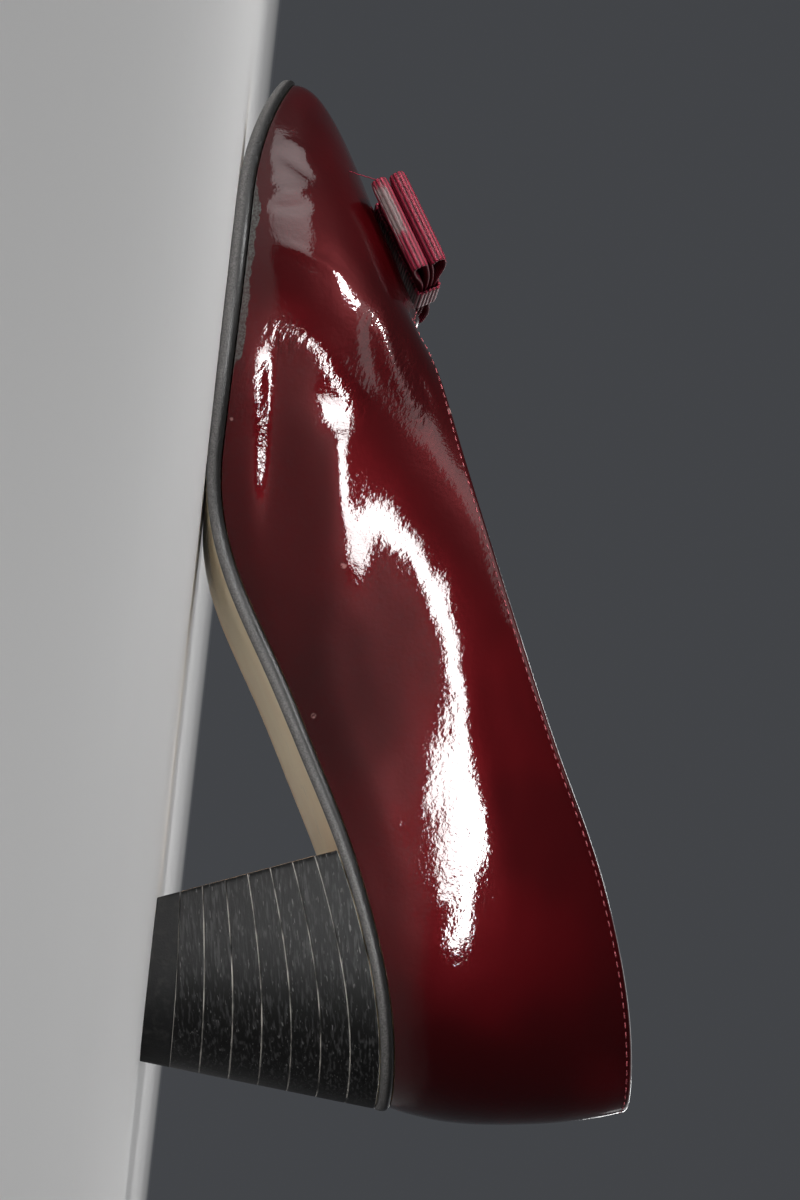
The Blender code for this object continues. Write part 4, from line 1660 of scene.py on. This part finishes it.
@dataclass
class Heel:
    """Stack of leather lifts and its rubber top piece."""

    last: Last
    lifts: int = 7
    breast_place: float = 56.0
    breast_lean: float = 14.0
    back_lean: float = 6.0
    side_taper: float = 0.10
    breast_hollow: float = 0.9
    inset: float = 0.4
    joint_gap: float = 0.05
    columns: int = 300
    side_points: int = 120
    breast_points: int = 60
    corner_softening: int = 2
    smooth_angle: float = 60.0
    leather: StackedLeather = StackedLeather()
    rubber: HeelRubber = HeelRubber()

    def plan(self) -> tuple[Array, Array]:
        """Draws the outline of the heel seat.

        Returns:
            Points of the closed outline, and how much of each point is breast.
        """
        medial, lateral = self.last.sides(self.inset)
        turn = np.linspace(0, math.pi / 2, self.side_points)
        along = medial[0, 0] + (self.breast_place - medial[0, 0]) * (1 - np.cos(turn))
        near, far = self.last.across(medial, along), self.last.across(lateral, along)
        across = np.linspace(1, -1, self.breast_points)[1:-1]
        middle, half = (near[-1] + far[-1]) / 2, (near[-1] - far[-1]) / 2
        hollow = self.breast_hollow * (1 - across**2)
        front = np.column_stack([self.breast_place - hollow, middle + half * across])
        start = np.column_stack([along, near])
        start[0, 1] = medial[0, 1]
        back = np.column_stack([along, far])[:0:-1]
        ring = np.vstack([start, front, back, start[:1]])
        breast = np.concatenate([np.zeros(len(start)), np.ones(len(front)), np.zeros(len(back) + 1)])
        reach = run_length(ring)
        even = np.linspace(0, reach[-1], self.columns + 1)
        outline = soften(read_along(ring, reach, even), self.corner_softening)
        return outline, np.interp(even, reach, breast)

    def level(self, outline: Array, share: float, shift: float) -> Array:
        """Places an outline on a level of the heel.

        Args:
            outline: points of the seat's outline.
            share: share of the way down from the seat to the floor.
            shift: how far the level is moved up.

        Returns:
            Points of the level.
        """
        start = float(self.last.sides(self.inset)[0][0, 0])
        height = (1 - share) * (self.last.under(outline[:, 0]) - PIECE_GAP) + shift
        front = self.breast_place - self.breast_lean * share
        back = start + self.back_lean * share
        place = back + (outline[:, 0] - start) * (front - back) / (self.breast_place - start)
        return np.column_stack([place, outline[:, 1] * (1 - self.side_taper * share), height])

    def lift(self, name: str, upper_share: float, lower_share: float) -> Piece:
        """Models one lift with a small chamfer round both faces.

        Args:
            name: name of the piece.
            upper_share: share of the way down from the seat to the floor at its upper face.
            lower_share: the same at its lower face.

        Returns:
            The piece.
        """
        outline, breast = self.plan()
        centre = outline[:-1].mean(axis=0)
        inward = unit(centre - outline)
        low_shift = self.joint_gap / 2 if lower_share < 1 else 0.0
        high_shift = -self.joint_gap / 2 if upper_share > 0 else 0.0
        section = LIFT_SECTION + tuple((1 - up, *rest) for up, *rest in reversed(LIFT_SECTION))
        rows = []
        for up, inner, drawn, _ in section:
            plan = outline + inward * drawn + (centre - outline) * inner
            share = lower_share + (upper_share - lower_share) * up
            rows.append(self.level(plan, share, low_shift + (high_shift - low_shift) * up))
        points = np.array(rows)
        marks = {
            "joint": by_row([joint for *_, joint in section], points.shape[1]),
            "breast": np.repeat(breast[None, :], points.shape[0], axis=0),
        }
        return add_grid(name, points, marks)

    def build(self) -> list[Piece]:
        """Models and dresses the whole stack.

        Returns:
            The lifts from the seat down, and the top piece.
        """
        levels = np.linspace(0, 1, self.lifts + 2)
        leather, rubber = self.leather.material(), self.rubber.material()
        made = []
        for number in range(self.lifts + 1):
            is_rubber = number == self.lifts
            node = "heel_top_piece" if is_rubber else f"heel_lift_{number + 1}"
            name = "rubber_top_piece" if is_rubber else f"leather_lift_{number + 1}"
            piece = self.lift(name, levels[number], levels[number + 1])
            piece.data.materials.append(rubber if is_rubber else leather)
            close_up(piece, self.smooth_angle)
            settle(piece, Slot.RUBBER if is_rubber else Slot.LIFT, node)
            made.append(piece)
        return made


# Loose thread at the lower loop's corner, in the bow's own axes
THREAD_PATH = (
    (11.6, 20.8, 0.4), (13.4, 20.0, -1.1), (15.4, 18.4, -2.3), (17.4, 17.1, -3.7), (19.3, 15.7, -4.8),
)


@dataclass
class Bow:
    """Two ribbed ribbon loops held by a band, on the vamp."""

    upper: Upper
    place: float = 207.0
    tilt: float = 3.0
    lift: float = 0.7
    ribbon_width: float = 24.5
    ribbon_thick: float = 0.9
    half_lower: float = 22.6
    half_upper: float = 22.0
    open_tip: float = 3.5
    open_middle: float = 1.2
    droop: float = 2.6
    opens_over: float = 0.6
    knot_width: float = 10.0
    knot_corner: float = 1.0
    rib_pitch: float = 1.05
    rib_height: float = 0.24
    steps_per_rib: int = 8
    face_rows: int = 14
    run_points: int = 121
    tip_points: int = 23
    corner_steps: int = 8
    softening: int = 3
    # Edges of the ribbon: how squarely they end, how thin they get, and how far the ribs wave them
    edge_square: int = 12
    edge_thin: float = 0.35
    edge_wave: float = 0.10
    edge_wave_square: int = 8
    # Wear round the lower loop's medial end: turn in radians, span along the bow, and strength
    rubbed_turn: Span = (1.0, 1.5, 2.80, 2.95)
    rubbed_span: Span = (-6.0, 0.0, 9.2, 11.8)
    rubbed_least: float = -0.10
    rubbed_most: float = 1.05
    bare_turn: float = 2.80
    bare_half: float = 0.10
    bare_span: Span = (-9.0, -5.0, 11.0, 12.2)
    thread_radius: float = 0.10
    thread_steps: int = 40
    thread_sides: int = 8
    smooth_angle: float = 80.0
    finish: Grosgrain = Grosgrain()

    def profile(self, half: float, layer: int) -> Array:
        """Draws the closed middle line of one loop across the bow.

        Args:
            half: half length of the loop.
            layer: -1 for the lower loop and 1 for the upper.

        Returns:
            Points across and outward.
        """
        radius = self.open_tip / 2
        straight = half - radius
        run = np.linspace(-straight, straight, self.run_points)
        free = np.clip(np.abs(run) - self.knot_width / 2 - PIECE_GAP, 0, None)
        share = smooth(0, self.opens_over * self.half_lower, free)
        opening = self.open_middle + (self.open_tip - self.open_middle) * share
        stack = 2 * PIECE_GAP + 2 * self.ribbon_thick + self.open_middle + PIECE_GAP / 2
        middle = stack - self.droop * (free / (self.half_lower - self.knot_width / 2)) ** 2
        middle = middle + layer * (opening + self.ribbon_thick + PIECE_GAP) / 2
        above = np.column_stack([run, middle + opening / 2])
        under = np.column_stack([run, middle - opening / 2])[::-1]
        turn = np.linspace(0, math.pi, self.tip_points + 2)[1:-1]
        right = np.column_stack([straight + radius * np.sin(turn), middle[-1] + radius * np.cos(turn)])
        left = np.column_stack([-straight - radius * np.sin(turn), middle[0] - radius * np.cos(turn)])
        return np.vstack([above, right, under, left])

    def knot_profile(self) -> Array:
        """Draws the closed middle line of the band.

        Returns:
            Points along the bow and outward.
        """
        reach = self.ribbon_width / 2 + PIECE_GAP + self.ribbon_thick / 2
        low = PIECE_GAP + self.ribbon_thick / 2
        stack = 2 * (self.open_middle + self.ribbon_thick) + PIECE_GAP
        high = low + self.ribbon_thick + 2 * PIECE_GAP + stack
        points = []
        for quarter, (along, up) in enumerate(((reach, high), (reach, low), (-reach, low), (-reach, high))):
            middle_x = along - math.copysign(self.knot_corner, along)
            middle_z = up - self.knot_corner if up == high else up + self.knot_corner
            for step in range(self.corner_steps + 1):
                turn = (quarter + step / self.corner_steps) * math.pi / 2
                way = (math.sin(turn), math.cos(turn))
                points.append((middle_x + self.knot_corner * way[0], middle_z + self.knot_corner * way[1]))
        return np.array(points)

    def band(self, name: str, profile: Array, width: float, across_axis: int) -> tuple[Piece, float]:
        """Models a closed ribbed ribbon round a profile.

        Args:
            name: name of the piece.
            profile: closed middle line in two axes.
            width: ribbon's width.
            across_axis: bow axis along which the ribbon is wide.

        Returns:
            The piece and the ribbon's length.
        """
        ring = np.vstack([profile, profile[:1]])
        reach = run_length(ring)
        ribs = int(round(reach[-1] / self.rib_pitch))
        at = np.linspace(0, reach[-1], ribs * self.steps_per_rib + 1)
        line = soften(read_along(ring, reach, at), self.softening)
        ahead = np.roll(line[:-1], -1, axis=0) - np.roll(line[:-1], 1, axis=0)
        ahead = unit(np.vstack([ahead, ahead[:1]]))
        outward = np.column_stack([-ahead[:, 1], ahead[:, 0]])
        rib = np.sqrt(np.clip((1 + np.cos(at / reach[-1] * ribs * 2 * math.pi)) / 2, 0, 1))
        half, thick = width / 2, self.ribbon_thick / 2 - self.rib_height / 2
        rows, crown = [], []
        spread = np.sin(np.linspace(-1, 1, self.face_rows) * math.pi / 2)
        for face in (1, -1):
            for share in spread * face:
                edge = math.sqrt(max(0.0, 1 - abs(share) ** self.edge_square))
                level = thick * (self.edge_thin + (1 - self.edge_thin) * edge)
                out = face * (level + self.rib_height * (rib - 0.5) * edge)
                flat = line + outward * out[:, None]
                wave = self.edge_wave * (rib - 0.5) * abs(share) ** self.edge_wave_square
                rows.append(np.insert(flat, across_axis, half * share + wave * np.sign(share), axis=1))
                crown.append(rib)
        rows.append(rows[0])
        crown.append(crown[0])
        points = np.array(rows)
        marks = {"rib": np.array(crown), **self.wear(points, name)}
        return add_grid(name, self.seated(points), marks), float(reach[-1])

    def wear(self, points: Array, name: str) -> dict[str, Array]:
        """Draws where the lower loop's medial end is rubbed grey and its rim bare.

        Args:
            points: places in the bow's own axes.
            name: name of the piece.

        Returns:
            Marks for the finish.
        """
        plain = np.full(points.shape[:-1], -1.0)
        if name != "bow_ribbon_lower":
            return {"rubbed_and_lit": plain, "rim_wear": plain}
        along, across, out = points[..., 0], points[..., 1], points[..., 2]
        middle = self.half_lower - self.open_tip / 2
        tip = self.profile(self.half_lower, -1)[self.run_points : self.run_points + self.tip_points]
        turn = np.arctan2(across - middle, out - float(np.mean(tip[:, 1]))) * (across > middle)
        rubbed_and_lit = window(*self.rubbed_turn, turn) * window(*self.rubbed_span, along)
        bare = np.exp(-(((turn - self.bare_turn) / self.bare_half) ** 2)) * window(*self.bare_span, along)
        rubbed_and_lit = rubbed_and_lit * (self.rubbed_most - self.rubbed_least) + self.rubbed_least
        return {"rubbed_and_lit": rubbed_and_lit, "rim_wear": bare}

    def seated(self, points: Array) -> Array:
        """Places the bow on the vamp.

        Args:
            points: places in the bow's own axes: along, across and out.

        Returns:
            Places on the shoe.
        """
        seat, slope = self.upper.ridge_seat(self.place, self.lift)
        turn = slope + math.radians(self.tilt)
        along = np.array((math.cos(turn), 0.0, -math.sin(turn)))
        out = np.array((math.sin(turn), 0.0, math.cos(turn)))
        across = np.array((0.0, 1.0, 0.0))
        return seat + points[..., :1] * along + points[..., 1:2] * across + points[..., 2:] * out

    def loose_thread(self) -> Piece:
        """Models the frayed thread at the lower loop's corner.

        Returns:
            The thread.
        """
        line = polyline(THREAD_PATH, self.thread_steps)
        ahead = unit(np.gradient(line, axis=0))
        side = unit(np.cross(ahead, UP))
        lift = np.cross(side, ahead)
        turns = np.linspace(0, 2 * math.pi, self.thread_sides + 1)
        ring = [line + self.thread_radius * (side * math.cos(turn) + lift * math.sin(turn)) for turn in turns]
        points = np.array(ring)
        points[:, 0] = line[0]
        points[:, -1] = line[-1]
        plain = np.full(points.shape[:2], -1.0)
        marks = {"rib": -plain, "rubbed_and_lit": plain, "rim_wear": plain}
        return add_grid("loose_thread", self.seated(points), marks)

    def join_thread(self, piece: Piece) -> None:
        """Makes the loose thread a part of a ribbon.

        Args:
            piece: the ribbon.
        """
        thread = self.loose_thread()
        close_up(thread, self.smooth_angle)
        thread.select_set(True)
        piece.select_set(True)
        bpy.context.view_layer.objects.active = piece
        bpy.ops.object.join()

    def build(self) -> list[Piece]:
        """Models and dresses the loops, the band and the loose thread.

        Returns:
            The three ribbons.
        """
        ribbon = self.finish.material()
        lower, upper = self.profile(self.half_lower, -1), self.profile(self.half_upper, 1)
        ribbons = (
            ("bow_ribbon_lower", "bow_loop_lower", lower, self.ribbon_width, 0),
            ("bow_ribbon_upper", "bow_loop_upper", upper, self.ribbon_width, 0),
            ("bow_band", "bow_knot", self.knot_profile(), self.knot_width, 1),
        )
        made = []
        for name, node, profile, width, across_axis in ribbons:
            piece, length = self.band(name, profile, width, across_axis)
            close_up(piece, self.smooth_angle)
            if profile is lower:
                self.join_thread(piece)
            piece.data.materials.append(ribbon)
            settle(piece, Slot.RIBBON, node)
            made.append(piece)
        return made


@dataclass(frozen=True)
class Lamp:
    """One soft rectangular studio light, in metres, watts and degrees."""

    name: str
    place: Point
    aim: Point
    size: Pair
    power: float
    spread: float = 180.0


@dataclass
class Studio:
    """Pale floor, soft lights and the camera, in metres."""

    floor_size: float = 8.0
    floor_squares: int = 8
    # Size of the floor's faint clouds, in millimetres, and where it fades into the air
    floor_cloud: float = 300.0
    floor_fade: Pair = (0.5, 3.0)
    floor_pale: Colour = (0.62, 0.615, 0.61, 1.0)
    floor_shade: Colour = (0.58, 0.575, 0.57, 1.0)
    night: Colour = (0.0, 0.0, 0.0, 1.0)
    air: Colour = (0.055, 0.058, 0.064, 1.0)
    camera_place: Point = (-0.107, 0.450, 0.006)
    camera_aim: Point = (-0.004, 0.0, 0.05)
    camera_top: Point = (0.95804, 0.26282, -0.11441)
    lens: float = 57.0
    sensor: float = 36.0
    nearest: float = 0.01
    lamps: tuple[Lamp, ...] = (
        Lamp("window", (0.15, 1.20, 0.12), (0.0, 0.0, 0.04), (0.42, 0.15), 0.48, 36.0),
        Lamp("slit", (-0.08, 1.22, 0.20), (-0.04, 0.0, 0.06), (0.24, 0.06), 0.14, 30.0),
        Lamp("spot", (0.77, 0.72, 0.58), (0.06, 0.03, 0.03), (0.10, 0.10), 0.48, 40.0),
        Lamp("throat_card", (0.62, 0.86, 0.92), (0.04, 0.03, 0.04), (0.7, 0.35), 1.7),
        Lamp("toe_card", (1.10, 0.59, 0.19), (0.08, 0.02, 0.02), (0.86, 0.36), 0.48, 60.0),
        Lamp("lateral_card", (0.02, -1.25, 0.52), (0.0, 0.0, 0.05), (0.9, 0.16), 0.30, 60.0),
        Lamp("overhead", (-0.20, -1.20, 2.00), (0.0, 0.0, 0.0), (3.0, 3.0), 24.0),
    )

    def floor(self) -> None:
        """Lays the floor."""
        bpy.ops.object.select_all(action="DESELECT")
        squares = self.floor_squares
        bpy.ops.mesh.primitive_grid_add(x_subdivisions=squares, y_subdivisions=squares, size=self.floor_size)
        piece = bpy.context.object
        piece.name = "floor"
        bench = NodeBench("floor_paint")
        paint = bench.mix(bench.noise(self.floor_cloud), self.floor_pale, self.floor_shade)
        far = bench.node("ShaderNodeVectorMath", {0: bench.place}, operation="LENGTH").outputs["Value"]
        fade = bench.band(far, *self.floor_fade)
        bench.set(base_color=bench.mix(fade, paint, self.night), roughness=0.7, specular_ior_level=0.2)
        bench.set(emission_color=self.air, emission_strength=fade)
        piece.data.materials.append(bench.material)

    def light(self) -> None:
        """Sets the air's tone and hangs the lamps."""
        world = bpy.data.worlds.new("studio_air")
        world.use_nodes = True
        world.node_tree.nodes["Background"].inputs["Color"].default_value = self.air
        bpy.context.scene.world = world
        for lamp in self.lamps:
            bpy.ops.object.light_add(type="AREA", location=lamp.place)
            made = bpy.context.object
            made.name = f"{lamp.name}_light"
            made.data.shape = "RECTANGLE"
            made.data.size, made.data.size_y = lamp.size
            made.data.energy = lamp.power
            made.data.spread = math.radians(lamp.spread)
            way = Vector(lamp.aim) - Vector(lamp.place)
            made.rotation_euler = way.to_track_quat("-Z", "Y").to_euler()

    def camera(self) -> None:
        """Sets the camera low on the floor, turned so that the toe points up."""
        bpy.ops.object.camera_add(location=self.camera_place)
        made = bpy.context.object
        made.name = "camera"
        ahead = (Vector(self.camera_aim) - Vector(self.camera_place)).normalized()
        top = Vector(self.camera_top)
        top = (top - ahead * top.dot(ahead)).normalized()
        right = ahead.cross(top)
        turn = Matrix((right, top, -ahead)).transposed().to_4x4()
        made.matrix_world = Matrix.Translation(self.camera_place) @ turn
        made.data.lens = self.lens
        made.data.sensor_width = self.sensor
        made.data.clip_start = self.nearest
        made.data.dof.use_dof = False
        bpy.context.scene.camera = made
        bpy.context.scene.view_settings.view_transform = "Standard"

    def build(self) -> None:
        """Makes the whole studio."""
        self.floor()
        self.light()
        self.camera()


def main() -> None:
    """Builds every piece and the studio in order, and reports each piece."""
    logging.basicConfig(level=logging.INFO, format="%(name)s %(message)s")
    last = Last()
    upper = Upper(last)
    pieces = [Outsole(last).build(), Sock(last).build(), upper.build(), upper.stitch()]
    pieces += Heel(last).build() + Bow(upper).build()
    Studio().build()
    for piece in pieces:
        LOG.info("%s: %d faces", piece.name, len(piece.data.polygons))


if __name__ == "__main__":
    main()
